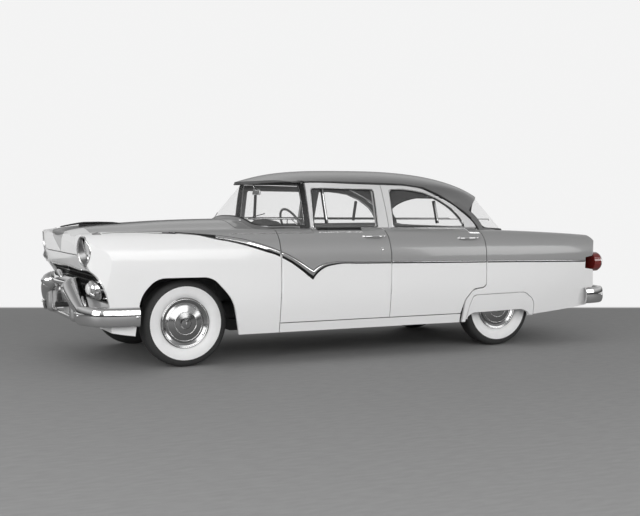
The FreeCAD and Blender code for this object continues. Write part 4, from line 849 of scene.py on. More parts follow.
for index, loop in enumerate(outer_loops("fixed_glass", CABIN_MIDDLE)[:2]):
    loop = thinned(loop, LOOP_STEP * MM)
    tube(f"glass_seal_{index}", loop, 9 * MM, RUBBER, "car", 8, closed=True)
    lifted = [p + (p - CABIN_MIDDLE).normalized() * 5 * MM for p in loop]
    tube(f"glass_bead_{index}", lifted, 4 * MM, DULL_CHROME, "car", 6, closed=True)

for side, sign in SIDES:
    for row, top, foot in DIVIDERS:
        node = f"window_{row}_{side}"
        hits = []
        for k in range(9):
            x, z = (a + (b - a) * k / 8 for a, b in zip(top, foot))
            hits.append(side_hit([node], x, z, sign))
        points = [hit[1] for hit in hits if hit]
        raised = [p + move(0, sign * DIVIDER_LIFT, 0) for p in points]
        tube(f"divider_rubber_{row}_{side}", points, 15 * MM, RUBBER, HOME[node], 8)
        tube(f"divider_{row}_{side}", raised, 7 * MM, DULL_CHROME, HOME[node], 8)

# Handles and locks

# Each handle's front end, rear end and height, and how far it stands out along its length.
HANDLES = {"front": (1509, 1717, 1000), "rear": (2432, 2637, 972)}
HANDLE_LIFTS = (2, 26, 34, 30, 3)
LOCK = (1662, 895)
LOCK_PROFILE = [(13, -2), (13, 2), (9, 4), (8.5, 2.5), (2, 2.5), (1.6, 1), (POINT, 1)]


def door_handle(name, node, sign, x_front, x_rear, z):
    """A pull handle on two feet with a push button behind it."""
    places = (x_front, x_front + 30, (x_front + x_rear) / 2, x_rear - 50, x_rear - 25)
    skin = [side_hit([node], x, z, sign)[1] for x in places]
    points = eased_path([p + move(0, sign * lift, 0) for p, lift in zip(skin, HANDLE_LIFTS)])
    radii = [(7.5 + 3.0 * math.sin(math.pi * i / (len(points) - 1))) * MM for i in range(len(points))]
    tube(name, points, radii, CHROME, HOME[node], 12, flat=0.8)
    for label, x, radius, tall in (("foot", x_front + 4, 15, 5), ("button", x_rear - 12, 17, 16)):
        base = side_hit([node], x, z, sign)
        profile = [
            (radius, -2), (radius, 3), (radius * 0.8, 6), (radius * 0.62, 7), (radius * 0.58, tall),
            (POINT, tall + 2),
        ]
        lathe(f"{name}_{label}", profile, base[1], (0, sign, 0), CHROME, HOME[node], 32)


for side, sign in SIDES:
    for row, place in HANDLES.items():
        door_handle(f"handle_{row}_{side}", f"door_{row}_{side}", sign, *place)
    node = f"door_front_{side}"
    place = side_hit([node], *LOCK, sign)[1]
    lathe(f"lock_{side}", LOCK_PROFILE, place, (0, sign, 0), CHROME, HOME[node], 32)

# Hood ornament

# The spear's sections: station, half width, half height and level.
SPEAR = [
    (-792, 2, 3, 1083), (-780, 9, 6, 1086), (-700, 15, 7, 1101), (-640, 34, 8, 1110), (-600, 40, 9, 1114),
    (-480, 28, 9, 1115), (-360, 14, 7, 1113), (-293, 3, 3, 1109),
]
SPEAR_SIDES = 16
FIN_STATIONS = range(-640, -310, 20)
FIN_TOP = 1110
FIN_SINK = 3
# The fin's half width at its foot and at its top.
FIN_HALF = (9, 6)


def spear():
    """A slim spear along the middle of the hood."""
    points = []
    for x, wide, tall, level in SPEAR:
        for cosine, sine in circle(SPEAR_SIDES):
            points.append(spot(x, 0, level) + Vector((0, cosine * wide * MM, sine * tall * MM)))
    rows = len(SPEAR)
    faces = grid_faces(rows, SPEAR_SIDES, closed=True) + end_faces(rows, SPEAR_SIDES)
    put("hood_spear", points, faces, DARK_METAL, HOME["hood"])


def spear_fin():
    """The low fin that carries the spear on the hood."""
    points = []
    for x in FIN_STATIONS:
        base = skin_down(["hood"], x, 0)
        foot = base.z - FIN_SINK * MM
        top = max(FIN_TOP * MM, foot)
        wide, narrow = FIN_HALF
        for y, z in ((-wide, foot), (-narrow, top), (narrow, top), (wide, foot)):
            points.append(Vector((base.x, y * MM, z)))
    rows = len(FIN_STATIONS)
    faces = grid_faces(rows, 4, closed=True) + end_faces(rows, 4)
    put("hood_spear_fin", points, faces, DARK_METAL, HOME["hood"])


spear()
spear_fin()

# Headlamps and tail lamps

LAMP_LEAN = math.radians(18)
LAMP_SWEEP = math.radians(7)
LAMP_Y = 742
LAMP_LEVEL = 923
LENS_RADIUS = 81
LAMP_WIDE = 0.101 * HALF
LAMP_HIGH = 0.075 * TALL
RIM_SIDES = 72
# Shares of the lamp's oval: where its rim is measured, the bright ring, and the lining's inner edge.
RIM_SHARES = (1.04, 0.992, 0.90)
LINING_LIFT = 16
DROP_PLACE = (-704, 826)
DROP_SIZE = (20, 30)
TAIL_PLACE = (WHEELBASE + 0.86 * REAR_OVERHANG, 0.868 * HALF, 731)
TAIL_RING = [(70, 0), (77, 0), (79, 10), (76, 20), (71, 18), (70, 8)]
TAIL_BOSS = [(18, 34), (16, 50), (9, 58), (POINT, 60)]


def lamp_frame(sign):
    """A headlamp's centre, its axis forward, and its directions across and up."""
    level = Vector((-math.cos(LAMP_SWEEP), sign * math.sin(LAMP_SWEEP), 0))
    axis = level * math.cos(LAMP_LEAN) - UP * math.sin(LAMP_LEAN)
    across = level.cross(UP)
    return spot(-0.822 * FRONT_OVERHANG, sign * LAMP_Y, LAMP_LEVEL), axis, across, across.cross(axis)


def paint_headlamps():
    """Fluted glass for the lens, and chrome round it."""
    NODES["headlamps"].data.materials.append(CHROME)
    for _, sign in SIDES:
        centre, axis, _, _ = lamp_frame(sign)
        for polygon in NODES["headlamps"].data.polygons:
            if polygon.center.y * sign > 0:
                away = polygon.center - centre
                radial = (away - axis * away.dot(axis)).length
                polygon.material_index = 0 if radial < LENS_RADIUS * MM else 1


def lamp_rim(side, sign):
    """A bright ring on the fender's edge and a lining down to the lamp."""
    centre, axis, across, up = lamp_frame(sign)
    outer, inner = [], []
    for cosine, sine in circle(RIM_SIDES):
        offset = across * cosine * LAMP_WIDE + up * sine * LAMP_HIGH
        probe, ring, edge = (centre + offset * share * MM for share in RIM_SHARES)
        hit = first_hit([f"fender_front_{side}"], probe + axis * 0.4, -axis)
        along = (hit[1] - centre).dot(axis) if hit else 20 * MM
        outer.append(ring + axis * (along + 3 * MM))
        inner.append(edge + axis * LINING_LIFT * MM)
    tube(f"lamp_ring_{side}", outer, 7 * MM, CHROME, "car", 10, closed=True)
    lining = []
    for k in range(5):
        t = k / 4
        sag = axis * math.sin(math.pi * t) * 4 * MM
        lining += [a * (1 - t) + b * t - sag for a, b in zip(outer, inner)]
    put(f"lamp_lining_{side}", lining, grid_faces(5, RIM_SIDES, closed=True), LINING, "car")


def lamp_drop(side, sign):
    """The small bright ring under a headlamp."""
    _, axis, across, up = lamp_frame(sign)
    centre = spot(DROP_PLACE[0], sign * LAMP_Y, DROP_PLACE[1])
    names = [f"fender_front_{side}", "nose_panel"]
    hits = []
    for cosine, sine in circle(40):
        point = centre + across * cosine * DROP_SIZE[0] * MM + up * sine * DROP_SIZE[1] * MM
        hits.append(first_hit(names, point + axis * 0.3, -axis))
    if all(hits):
        points = [hit[1] + hit[2] * MM for hit in hits]
        tube(f"lamp_drop_{side}", points, 4 * MM, CHROME, "car", 8, closed=True)


paint_headlamps()
for side, sign in SIDES:
    tail = spot(TAIL_PLACE[0], sign * TAIL_PLACE[1], TAIL_PLACE[2])
    lathe(f"tail_ring_{side}", TAIL_RING, tail, REARWARD, CHROME, "car", 56)
    lathe(f"tail_boss_{side}", TAIL_BOSS, tail, REARWARD, CHROME, "car", 40)
    lamp_rim(side, sign)
    lamp_drop(side, sign)

# Front bumper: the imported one's outer blades with the bullets, columns and bars between them

BLADE_HALF = 75
BLADE_LEVEL = 425
BLADE_START = 617
BLADE_SPARE = 6
CUTTER_ENDS = (-960, -300)
# The rising arm's path: x, y, height and radius.
SCROLL = [(-790, 400, 623, 75), (-786, 463, 582, 78), (-773, 559, 509, 69), (-755, 665, 438, 51)]
BULLET = (-0.900 * FRONT_OVERHANG, 0.415 * HALF, 0.398 * TALL)
BULLET_PROFILE = [
    (75, -40), (75, -6), (74, 6), (66, 26), (54, 44), (40, 59), (27, 71), (16, 80), (8, 84.5), (POINT, 87),
]
COLUMN_PROFILE = [(POINT, -44), (17, -40), (31, -31), (40, -18), (44, 0), (44, 60), (46, 150), (50, 205)]
COLUMN_FOOT = (-777, BULLET[1] + 44, 395)
IRON_PLACE = (-650, 415, 410)
IRON_SIZE = (200, 38, 38)
UPPER_X = -788
UPPER_BOW = 0.00014
UPPER_REACH = 420
UPPER_LEVEL = 655
UPPER_RADIUS = 45
LOWER_PLACE = (-768, 0, 369)
LOWER_SIZE = (17, 850, 37)
BOSS_PROFILE = [(88, -12), (90, 2), (84, 12), (60, 20), (34, 25), (12, 27), (POINT, 27.5)]
BOSS_PLACE = (-808, 0, 684)
BOSS_SQUASH = (1.5, 0.64)
CREASE = math.radians(32)


def blade_cutter(sign):
    """A block with a round inner end that holds one outer blade."""
    tall = BLADE_HALF + BLADE_SPARE
    outline = [(REACH, -tall), (REACH, tall)]
    for k in range(25):
        t = math.pi * k / 24
        outline.append((BLADE_START + BLADE_HALF - tall * math.sin(t), tall * math.cos(t)))
    near, far = ([spot(x, sign * y, BLADE_LEVEL + z) for y, z in outline] for x in CUTTER_ENDS)
    return linked("cutter", mesh_of("cutter", prism(near, far)))


def evaluated(piece):
    """Applies a piece's modifiers, and returns its new mesh."""
    graph = bpy.context.evaluated_depsgraph_get()
    mesh = bpy.data.meshes.new_from_object(piece.evaluated_get(graph))
    piece.modifiers.clear()
    piece.data = mesh
    return mesh


def blade(side, sign):
    """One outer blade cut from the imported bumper, with a rounded inner end."""
    piece = linked(f"front_blade_{side}", NODES["front_bumper"].data.copy())
    cutter = blade_cutter(sign)
    cut = piece.modifiers.new("Cut", "BOOLEAN")
    cut.operation = "INTERSECT"
    cut.solver = "EXACT"
    cut.object = cutter
    shaped = evaluated(piece)
    dress(shaped, CHROME)
    shaped.set_sharp_from_angle(angle=CREASE)
    bpy.data.objects.remove(cutter)
    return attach(piece, "car")


def bumper_side(side, sign):
    """The rising arm, bullet, column and iron of one side."""
    rows = eased([(x, sign * y, z, r) for x, y, z, r in SCROLL])
    path = [spot(x, y, z) for x, y, z, _ in rows]
    base = spot(BULLET[0], sign * BULLET[1], BULLET[2])
    foot = spot(COLUMN_FOOT[0], sign * COLUMN_FOOT[1], COLUMN_FOOT[2])
    iron = spot(IRON_PLACE[0], sign * IRON_PLACE[1], IRON_PLACE[2])
    return [
        tube(f"scroll_{side}", path, [r * MM for *_, r in rows], CHROME, "car", 28),
        lathe(f"bullet_{side}", BULLET_PROFILE, base, FORWARD, CHROME, "car", 48),
        lathe(f"column_{side}", COLUMN_PROFILE, foot, UP, CHROME, "car", 40),
        box_piece(f"front_iron_{side}", iron, IRON_SIZE, BLACK_STEEL, "car", 3),
    ]


def bumper_middle():
    """The bowed upper bar, the flat lower bar and the boss between them."""
    stations = range(-UPPER_REACH, UPPER_REACH + 1, 20)
    upper = [spot(UPPER_X + UPPER_BOW * y * y, y, UPPER_LEVEL) for y in stations]
    return [
        tube("upper_bar", upper, UPPER_RADIUS * MM, CHROME, "car", 28),
        box_piece("lower_bar", spot(*LOWER_PLACE), LOWER_SIZE, CHROME, "car", 6),
        lathe("centre_boss", BOSS_PROFILE, spot(*BOSS_PLACE), FORWARD, CHROME, "car", 48, BOSS_SQUASH),
    ]


bumper = [blade(side, sign) for side, sign in SIDES]
for side, sign in SIDES:
    bumper += bumper_side(side, sign)
for part in bumper + bumper_middle():
    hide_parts("front_bumper")

# Mouth moulding and parking lamps

# The mouth's upper edge from the side to the middle: y and height.
MOUTH = [(785, 731), (700, 745), (540, 757), (300, 765), (0, 770)]
MOUTH_STEP = 24.0
MOUTH_DEEPEST = -380
PARKING_PLACE = (-655, 622, 622)
PARKING_SHELL = [(60, -60), (88, -30), (88, -10), (80, 14), (66, 36), (50, 54)]
PARKING_GLASS = [(50, 52), (42, 64), (30, 73), (16, 78), (POINT, 80)]
BAR_LEVELS = (560, 622, 684)
BAR_RADII = (6, 9, 6)
BAR_START = 700
BAR_LONG = 150
BAR_TAPER = 22
BAR_X = -672
BAR_BOW = 0.0062 * 0.62


def mouth_moulding():
    """A bright line along the upper edge of the mouth."""
    names = ["nose_panel", "fender_front_left", "fender_front_right"]
    edge = [(-y, z) for y, z in MOUTH] + list(reversed(MOUTH[:-1]))
    rim = []
    for y, z in resample(edge, MOUTH_STEP):
        hit = front_hit(names, y, z + (9 if abs(y) < 780 else 0))
        if hit and hit[1].x < scene_x(MOUTH_DEEPEST):
            rim.append(hit[1] + FORWARD * MM)
    tube("mouth_moulding", rim, 8 * MM, CHROME, "car", 8)


def parking_lamp(side, sign):
    """A bright shell with a domed lens, and three bars outward from it."""
    centre = spot(PARKING_PLACE[0], sign * PARKING_PLACE[1], PARKING_PLACE[2])
    axis = (-0.99, sign * 0.08, 0.0)
    lathe(f"parking_shell_{side}", PARKING_SHELL, centre, axis, CHROME, "car", 48)
    lathe(f"parking_glass_{side}", PARKING_GLASS, centre, axis, HEAD_GLASS, "car", 40)
    names = [f"fender_front_{side}", "nose_panel", "grille"]
    for k, (z, radius) in enumerate(zip(BAR_LEVELS, BAR_RADII)):
        wire = []
        for j in range(9):
            y = sign * (BAR_START + (BAR_LONG - BAR_TAPER * k) * j / 8)
            if front_hit(names, y, z):
                wire.append(spot(BAR_X + BAR_BOW * (abs(y) - BAR_START) ** 2, y, z))
        tube(f"mouth_bar_{side}_{k}", wire, radius * MM, CHROME, "car", 8)


mouth_moulding()
for side, sign in SIDES:
    parking_lamp(side, sign)

# Blank plate, boot handle and bumper bolts

PLATE_PLACE = (WHEELBASE + 0.945 * REAR_OVERHANG + 0.30 * 150 + 2, 425 + 0.27 * 150)
PLATE_SIZE = (2, 303, 151)
PLATE_BOLT_Y = 89
PLATE_BOLT_RISE = 0.37 * 153
PLATE_BOLT = [(7, 0), (7, 3), (5, 5.5), (POINT, 6)]
BUMPER_BOLT = [(13, -2), (13, 1), (10, 4.5), (4, 6.5), (POINT, 7)]
# Each bumper's bolt heads: the face, and the x or y on it.
BOLTS = {
    "front_bumper": (("side", -300), ("side", -420), ("front", 680)),
    "rear_bumper": (("side", 4020), ("rear", 620)),
}
GRIP_STATIONS = range(-90, 91, 15)
GRIP_LEVEL = 800


def grip_lift(y):
    """How far the boot's handle stands off the lid at y."""
    if abs(y) < 70:
        return 24
    return 10 if abs(y) < 85 else 0


def boot_handle():
    """A pull across the boot lid's lower edge."""
    points = []
    for y in GRIP_STATIONS:
        points.append(rear_hit(["boot_lid"], y, GRIP_LEVEL)[1] + move(grip_lift(y), 0, 0))
    tube("boot_handle", eased_path(points), 8 * MM, CHROME, HOME["boot_lid"], 10)


def bumper_bolts(side, sign):
    """Round bolt heads on both bumpers' faces."""
    for node, places in BOLTS.items():
        for k, (face, place) in enumerate(places):
            if face == "side":
                hit = side_hit([node], place, BLADE_LEVEL, sign)
            elif face == "front":
                hit = front_hit([node], sign * place, BLADE_LEVEL)
            else:
                hit = rear_hit([node], sign * place, BLADE_LEVEL)
            if hit:
                lathe(f"{node}_bolt_{side}_{k}", BUMPER_BOLT, hit[1], hit[2], CHROME, "car", 24)


box_piece("blank_plate", spot(PLATE_PLACE[0], 0, PLATE_PLACE[1]), PLATE_SIZE, PLATE_PAINT, "car", 0.9)
for side, sign in SIDES:
    bolt = spot(PLATE_PLACE[0], sign * PLATE_BOLT_Y, PLATE_PLACE[1] + PLATE_BOLT_RISE)
    lathe(f"plate_bolt_{side}", PLATE_BOLT, bolt, REARWARD, CHROME, "car", 20)
boot_handle()
for side, sign in SIDES:
    bumper_bolts(side, sign)

# Wheel covers' beads and valves

# Each axle's station and track.
TRACKS = (("front", 0, 1473), ("rear", WHEELBASE, 1422))
# Each bright ring's radius on the cover, and its rod's radius.
BEADS = (("rim_bead", 186, 4), ("dish_bead", 140, 3), ("cap_bead", 88, 3))
VALVE_RADIUS = 165
VALVE_ANGLE = 0.6


def wheel_trim(row, side, sign, hub):
    """Three bright rings on a wheel's cover, and the tyre's valve."""
    body = f"{row}_{side}_wheel"
    for label, radius, rod in BEADS:
        ring = []
        for cosine, sine in circle(72):
            start = hub + Vector((cosine * radius * MM, sign * 0.3, sine * radius * MM))
            hit = first_hit([f"wheel_{row}_{side}"], start, Vector((0, -sign, 0)))
            ring.append(hit[1] if hit else start)
        tube(f"{label}_{row}_{side}", ring, rod * MM, CHROME, body, 8, closed=True)
    out = VALVE_RADIUS * math.cos(VALVE_ANGLE), -VALVE_RADIUS * math.sin(VALVE_ANGLE)
    stem = hub + move(out[0], sign * 68, out[1])
    tube(f"valve_{row}_{side}", [stem, stem + move(0, sign * 16, 0)], [3.5 * MM, 3 * MM], RUBBER, body, 10)


for row, centre_x, track in TRACKS:
    for side, sign in SIDES:
        wheel_trim(row, side, sign, spot(centre_x, sign * track / 2, WHEEL_LEVEL))

# Wipers and mirror

WIPER_ROOT = 640
WIPER_Y = 330
WIPER_START = (300, 1115)
WIPER_RISE = 14
WIPER_BOSS = [(14, -2), (14, 6), (9, 12), (POINT, 14)]
MIRROR_PLACE = (925, 0, 1372)
MIRROR_TURN = Matrix.Rotation(math.radians(8), 3, "Y")


def wiper(side, sign):
    """A boss on the cowl with an arm and a blade along the windshield."""
    y = sign * WIPER_Y
    root = skin_down(["cowl", "hood"], WIPER_ROOT, y) + UP * 4 * MM
    lathe(f"wiper_boss_{side}", WIPER_BOSS, root, UP, CHROME, "car", 24)
    sweep = -50 if sign < 0 else 10
    path = []
    for k in range(6):
        start = spot(WIPER_START[0], y + sweep * k, WIPER_START[1] + WIPER_RISE * k)
        hit = first_hit(["fixed_glass"], start, REARWARD)
        if hit:
            path.append(hit[1] + hit[2] * 7 * MM)
    if len(path) > 2:
        tube(f"wiper_arm_{side}", [root + UP * 10 * MM] + path[1:3], 3 * MM, CHROME, "car", 8)
        tube(f"wiper_blade_{side}", path, 3.5 * MM, RUBBER, "car", 8, flat=0.6)


def mirror():
    """The inside mirror on a stem from the header."""
    centre = spot(*MIRROR_PLACE)
    face = centre + move(8, 0, -1)
    stem = [centre, centre + move(-20, 0, 35), centre + move(-30, 0, 75)]
    box_piece("mirror_shell", centre, (12, 165, 52), DULL_CHROME, "car", 6, MIRROR_TURN)
    box_piece("mirror_glass", face, (3, 155, 42), CHROME, "car", 1.2, MIRROR_TURN)
    tube("mirror_stem", stem, 5 * MM, CHROME, "car", 10)


for side, sign in SIDES:
    wiper(side, sign)
mirror()

# Steering wheel's horn ring, gauges and radio

TILT = math.radians(27)
WHEEL_Y = -370
HUB_POINT = spot(0.384 * WHEELBASE, WHEEL_Y, 0.661 * TALL)
COLUMN = Vector((math.cos(TILT), 0, math.sin(TILT)))
ACROSS = Vector((0, 1, 0))
HORN_RADIUS = 118
HORN_CAP = [(33, 4), (30, 10), (18, 15), (POINT, 17)]
# The sections of the hump over the gauges: share of its depth and share of its rise.
HUMP_SECTIONS = [(0.0, 0.0), (0.25, 0.75), (0.55, 1.0), (1.0, 0.55)]
HUMP_START = (725, 1030)
HUMP_DEPTH = 215
HUMP_HALF = 205
HUMP_HEIGHT = (70, 45)
GAUGE_X = 962
GAUGE_LEVEL = 1012
RADIO_PLACE = (968, 40, 985)
RADIO_SIZE = (8, 200, 70)
KNOB_STEP = 70
# Each gauge's y and radius.
GAUGES = ((-445, 52), (-295, 34), (-230, 34))
KNOB = [(12, 0), (12, 10), (9, 13), (POINT, 13.5)]


def horn():
    """The steering wheel's cap and the horn ring round it."""
    down = ACROSS.cross(COLUMN)
    lathe("horn_cap", HORN_CAP, HUB_POINT, COLUMN, CHROME, "steering", 40)
    ring = []
    for cosine, sine in circle(60):
        ring.append(HUB_POINT + (ACROSS * cosine + down * sine) * HORN_RADIUS * MM + COLUMN * 4 * MM)
    tube("horn_ring", ring, 4 * MM, CHROME, "steering", 8, closed=True)


def shift_lever():
    """The gear lever on the steering column."""
    path = [
        HUB_POINT - COLUMN * 100 * MM, HUB_POINT - COLUMN * 85 * MM + move(0, 120, 10),
        HUB_POINT - COLUMN * 50 * MM + move(0, 210, 30),
    ]
    tube("shift_lever", path, [5 * MM, 4.5 * MM, 8 * MM], CHROME, "car", 10)


def gauge_hood():
    """The dark hump over the gauges."""
    points = []
    for share, rise in HUMP_SECTIONS:
        for j in range(17):
            turn = math.pi * j / 16
            level = HUMP_START[1] + (HUMP_HEIGHT[0] + HUMP_HEIGHT[1] * rise) * math.sin(turn)
            y = WHEEL_Y - HUMP_HALF * math.cos(turn)
            points.append(spot(HUMP_START[0] + HUMP_DEPTH * share, y, level))
    rows = len(HUMP_SECTIONS)
    put("gauge_hood", points, grid_faces(rows, 17) + end_faces(rows, 17), DASH_DARK, "car")


def gauges():
    """Three round gauges, a radio and its knobs."""
    for k, (y, radius) in enumerate(GAUGES):
        profile = [(radius, 0), (radius, 6), (radius - 4, 9), (radius - 6, 4), (POINT, 4)]
        centre = spot(GAUGE_X, y, GAUGE_LEVEL - radius * 0.2)
        lathe(f"gauge_{k}", profile, centre, REARWARD, DULL_CHROME, "car", 40)
    x, y, z = RADIO_PLACE
    box_piece("radio_panel", spot(x, y, z), RADIO_SIZE, DULL_CHROME, "car", 3)
    for side, sign in SIDES:
        knob = spot(x + 4, y + sign * KNOB_STEP, z)
        lathe(f"radio_knob_{side}", KNOB, knob, REARWARD, CHROME, "car", 24)


horn()
gauge_hood()
gauges()
shift_lever()

# Seats: padded benches in place of the plain solids

INSET = 13.0
SEAT_BEVEL = 22
VOXEL = 12
SWELL_CAP = 18
CHANNEL = 112.0
CHANNEL_HALF = 11.0
CHANNEL_DEPTH = 10
FRAMES = 20
FLOOR_SHARE = 0.2111
CLOTH_PRESSURE = 4.0


def bench_block(name, outline, wide):
    """A block over a side outline, a little smaller than the cushion, as an even mesh."""
    middle = [sum(p[i] for p in outline) / len(outline) for i in (0, 1)]
    small = []
    for x, z in outline:
        dx, dz = x - middle[0], z - middle[1]
        long = math.hypot(dx, dz)
        small.append((x - dx / long * INSET * 1.3, z - dz / long * INSET * 1.3))
    near, far = ([spot(x, sign * (wide - INSET), z) for x, z in small] for _, sign in SIDES)
    builder = prism(near, far)
    bmesh.ops.bevel(
        builder, geom=builder.edges[:], offset=SEAT_BEVEL * MM, segments=4, affect="EDGES", profile=0.6)
    piece = linked(name, mesh_of(name, builder))
    remesh = piece.modifiers.new("Remesh", "REMESH")
    remesh.mode = "VOXEL"
    remesh.voxel_size = VOXEL * MM
    evaluated(piece)
    return piece


def blow_up(piece):
    """Pressure from inside by cloth simulation, with each point's way capped."""
    start = [v.co.copy() for v in piece.data.vertices]
    blow = piece.modifiers.new("Cloth", "CLOTH")
    blow.settings.use_pressure = True
    blow.settings.uniform_pressure_force = CLOTH_PRESSURE
    blow.settings.effector_weights.gravity = 0.0
    blow.point_cache.frame_start, blow.point_cache.frame_end = 1, FRAMES
    for moment in range(1, FRAMES + 1):
        bpy.context.scene.frame_set(moment)
    blown = evaluated(piece)
    bpy.context.scene.frame_set(1)
    for vertex, origin in zip(blown.vertices, start):
        way = vertex.co - origin
        if way.length > SWELL_CAP * MM:
            vertex.co = origin + way.normalized() * SWELL_CAP * MM


def sew_channels(mesh, wide):
    """Furrows from front to back, pressed in along the normals."""
    normals = [v.normal.copy() for v in mesh.vertices]
    for vertex, normal in zip(mesh.vertices, normals):
        if abs(normal.y) > 0.6 or abs(vertex.co.y) > (wide - 60) * MM:
            continue
        offset = (vertex.co.y / (CHANNEL * MM) + 0.5) % 1.0 - 0.5
        depth = CHANNEL_DEPTH * MM * math.exp(-(offset * CHANNEL / CHANNEL_HALF) ** 2)
        vertex.co -= normal * depth


def pillow(name, outline, wide):
    """A padded bench form from its side outline."""
    piece = bench_block(name, outline, wide)
    blow_up(piece)
    sew_channels(piece.data, wide)
    dress(piece.data, SEAT_CLOTH)
    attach(piece, "car")
    return piece


def placed(shares):
    """Points from shares of the wheelbase and of the height."""
    return [(s * WHEELBASE, z * TALL) for s, z in shares]


def seat(name, cushion_shares, back_shares, wide, base_shares):
    """A bench: cushion, back and two plain bases."""
    cushion = pillow(f"{name}_cushion", placed(cushion_shares), wide)
    pillow(f"{name}_back", placed(back_shares), wide)
    (x0, z0), (x1, z1) = placed(base_shares)
    for side, sign in SIDES:
        y0, y1 = 0.25 * HALF, 0.9 * wide
        middle = spot((x0 + x1) / 2, sign * (y0 + y1) / 2, (z0 + z1) / 2)
        box_piece(f"{name}_base_{side}", middle, (x1 - x0, y1 - y0, z1 - z0), TRIM_PANEL, "car", 12)
    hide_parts(name)


# Each seat's cushion, back, half width and two corners of its bases.
SEATS = {
    "front_seat": (
        [(0.420, 0.300), (0.425, 0.400), (0.590, 0.385), (0.600, 0.300)],
        [
            (0.545, 0.330), (0.575, 0.640), (0.588, 0.697), (0.612, 0.697), (0.622, 0.640), (0.606, 0.300),
            (0.560, 0.300),
        ],
        0.715 * HALF, [(0.440, FLOOR_SHARE), (0.590, 0.320)],
    ),
    "rear_seat": (
        [(0.700, 0.290), (0.702, 0.410), (0.838, 0.390), (0.838, 0.290)],
        [
            (0.822, 0.330), (0.880, 0.640), (0.905, 0.700), (0.935, 0.700), (0.945, 0.660), (0.905, 0.464),
            (0.8615, 0.464), (0.836, 0.330),
        ],
        0.700 * HALF, [(0.720, FLOOR_SHARE), (0.822, 0.310)],
    ),
}
for name, shape in SEATS.items():
    seat(name, *shape)

# Camera

CAMERA = spot(-2560, -8617, 1284)
YAW = math.radians(25.3)
PITCH = math.radians(-3.04)
PHOTO_WIDTH = 640
FOCAL_PIXELS = 1053.6
SHIFT_PIXELS = 3.0
SENSOR = 36.0


def photo_camera():
    """The camera at the photograph's place and angle."""
    data = bpy.data.cameras.new("camera")
    data.sensor_width = SENSOR
    data.lens = FOCAL_PIXELS / PHOTO_WIDTH * SENSOR
    data.shift_x = SHIFT_PIXELS / PHOTO_WIDTH
    data.clip_end = 200.0
    camera = linked("camera", data)
    camera.location = CAMERA
    level = math.cos(PITCH)
    sight = Vector((math.sin(YAW) * level, math.cos(YAW) * level, math.sin(PITCH)))
    camera.rotation_euler = sight.to_track_quat("-Z", "Y").to_euler()
    bpy.context.scene.camera = camera


photo_camera()

# Light


def area_light(name, place, target, size, power):
    """A rectangular lamp that faces its target, in metres and watts."""
    data = bpy.data.lights.new(name, "AREA")
    data.shape = "RECTANGLE"
    data.size, data.size_y = size
    data.energy = power
    light = linked(name, data)
    light.location = place
    light.rotation_euler = (Vector(target) - Vector(place)).to_track_quat("-Z", "Y").to_euler()
    return light


area_light("key", (-3.0, -10.0, 3.6), (0.2, 0.0, 0.7), (13.0, 5.0), 600)
area_light("front", (-9.0, -2.5, 2.4), (-2.4, 0.0, 0.7), (4.0, 3.0), 210)
area_light("top", (0.0, -0.5, 6.5), (0.0, 0.0, 0.0), (8.0, 4.0), 20)
far_side = area_light("far_side", (2.0, 10.0, 3.6), (0.2, 0.0, 0.7), (12.0, 5.0), 200)
far_side.visible_glossy = False
area_light("rear_fill", (6.5, -7.0, 2.8), (1.0, 0.0, 0.7), (4.0, 3.0), 130)

PALE = (0.90, 0.90, 0.90, 1.0)
SKY_LEVEL = 0.50
# The studio's walls: height of the direction and lightness.
SKY = [(0.0, 0.10), (0.06, 0.16), (0.16, 0.75), (0.30, 1.35), (0.55, 0.95), (0.80, 0.55), (1.0, 0.5)]


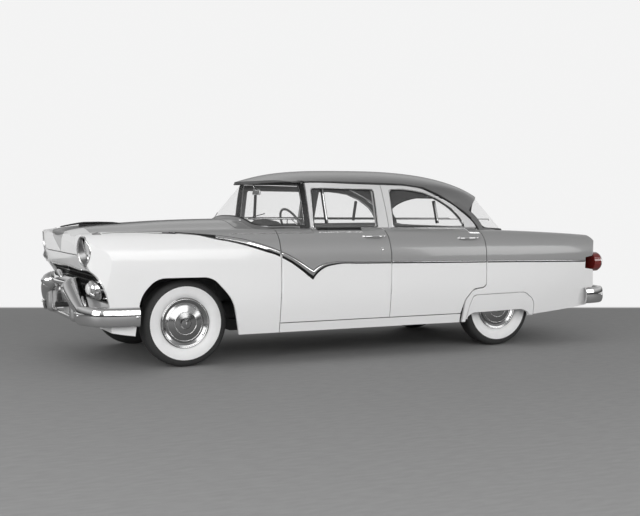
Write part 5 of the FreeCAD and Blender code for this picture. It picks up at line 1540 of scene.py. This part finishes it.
def studio_world():
    """Soft walls for light and reflections, and a pale background for the camera and through glass."""
    world = bpy.data.worlds.new("studio")
    bpy.context.scene.world = world
    world.use_nodes = True
    nodes, link = world.node_tree.nodes, world.node_tree.links.new
    walls = nodes["Background"]
    walls.inputs[1].default_value = SKY_LEVEL
    split = nodes.new("ShaderNodeSeparateXYZ")
    link(nodes.new("ShaderNodeTexCoord").outputs["Generated"], split.inputs[0])
    sky = nodes.new("ShaderNodeValToRGB")
    link(split.outputs["Z"], sky.inputs[0])
    while len(sky.color_ramp.elements) < len(SKY):
        sky.color_ramp.elements.new(0.5)
    for element, (height, value) in zip(sky.color_ramp.elements, SKY):
        element.position = height
        element.color = (value, value, value, 1.0)
    link(sky.outputs[0], walls.inputs[0])
    pale = nodes.new("ShaderNodeBackground")
    pale.inputs[0].default_value = PALE
    pale.inputs[1].default_value = 1.0
    path = nodes.new("ShaderNodeLightPath")
    seen = nodes.new("ShaderNodeMath")
    seen.operation = "MAXIMUM"
    link(path.outputs["Is Camera Ray"], seen.inputs[0])
    link(path.outputs["Is Transmission Ray"], seen.inputs[1])
    blend = nodes.new("ShaderNodeMixShader")
    for source, socket in zip((seen, walls, pale), blend.inputs):
        link(source.outputs[0], socket)
    link(blend.outputs[0], nodes["World Output"].inputs[0])


studio_world()

# Floor: grey up to the photograph's horizon line, and pale beyond it

FLOOR_HALF = 60.0
HORIZON = (12.7, 12.9)


def floor_material():
    """Grey paving with a fine grain, which turns into the pale backdrop behind the car."""
    ground = Shader("studio_floor")
    x, y, _ = ground.split(ground.place())
    across = ground.math("MULTIPLY", ground.math("SUBTRACT", x, CAMERA.x), math.sin(YAW))
    along = ground.math("MULTIPLY", ground.math("SUBTRACT", y, CAMERA.y), math.cos(YAW))
    share = ground.span(ground.math("ADD", across, along), 0.0, 1.0, *HORIZON)
    cloud = ground.span(ground.noise(9.0, 6.0, (1.0, 3.0, 1.0)), linear(132), linear(150))
    ground.set(Base_Color=ground.grey(cloud), Roughness=0.75)
    ground.bump(ground.noise(60.0, 4.0), 0.08, 2 * MM)
    pale = ground.add("ShaderNodeEmission")
    pale.inputs[0].default_value = PALE
    join = ground.add("ShaderNodeMixShader")
    for socket, source in zip(join.inputs, (share, ground.bsdf.outputs[0], pale.outputs[0])):
        ground.feed(socket, source)
    ground.feed(ground.tree.nodes["Material Output"].inputs[0], join.outputs[0])
    return ground.material


builder = bmesh.new()
bmesh.ops.create_grid(builder, x_segments=8, y_segments=8, size=FLOOR_HALF)
floor = linked("floor", mesh_of("floor", builder))
floor.data.materials.append(floor_material())

bpy.context.scene.view_settings.view_transform = "Standard"
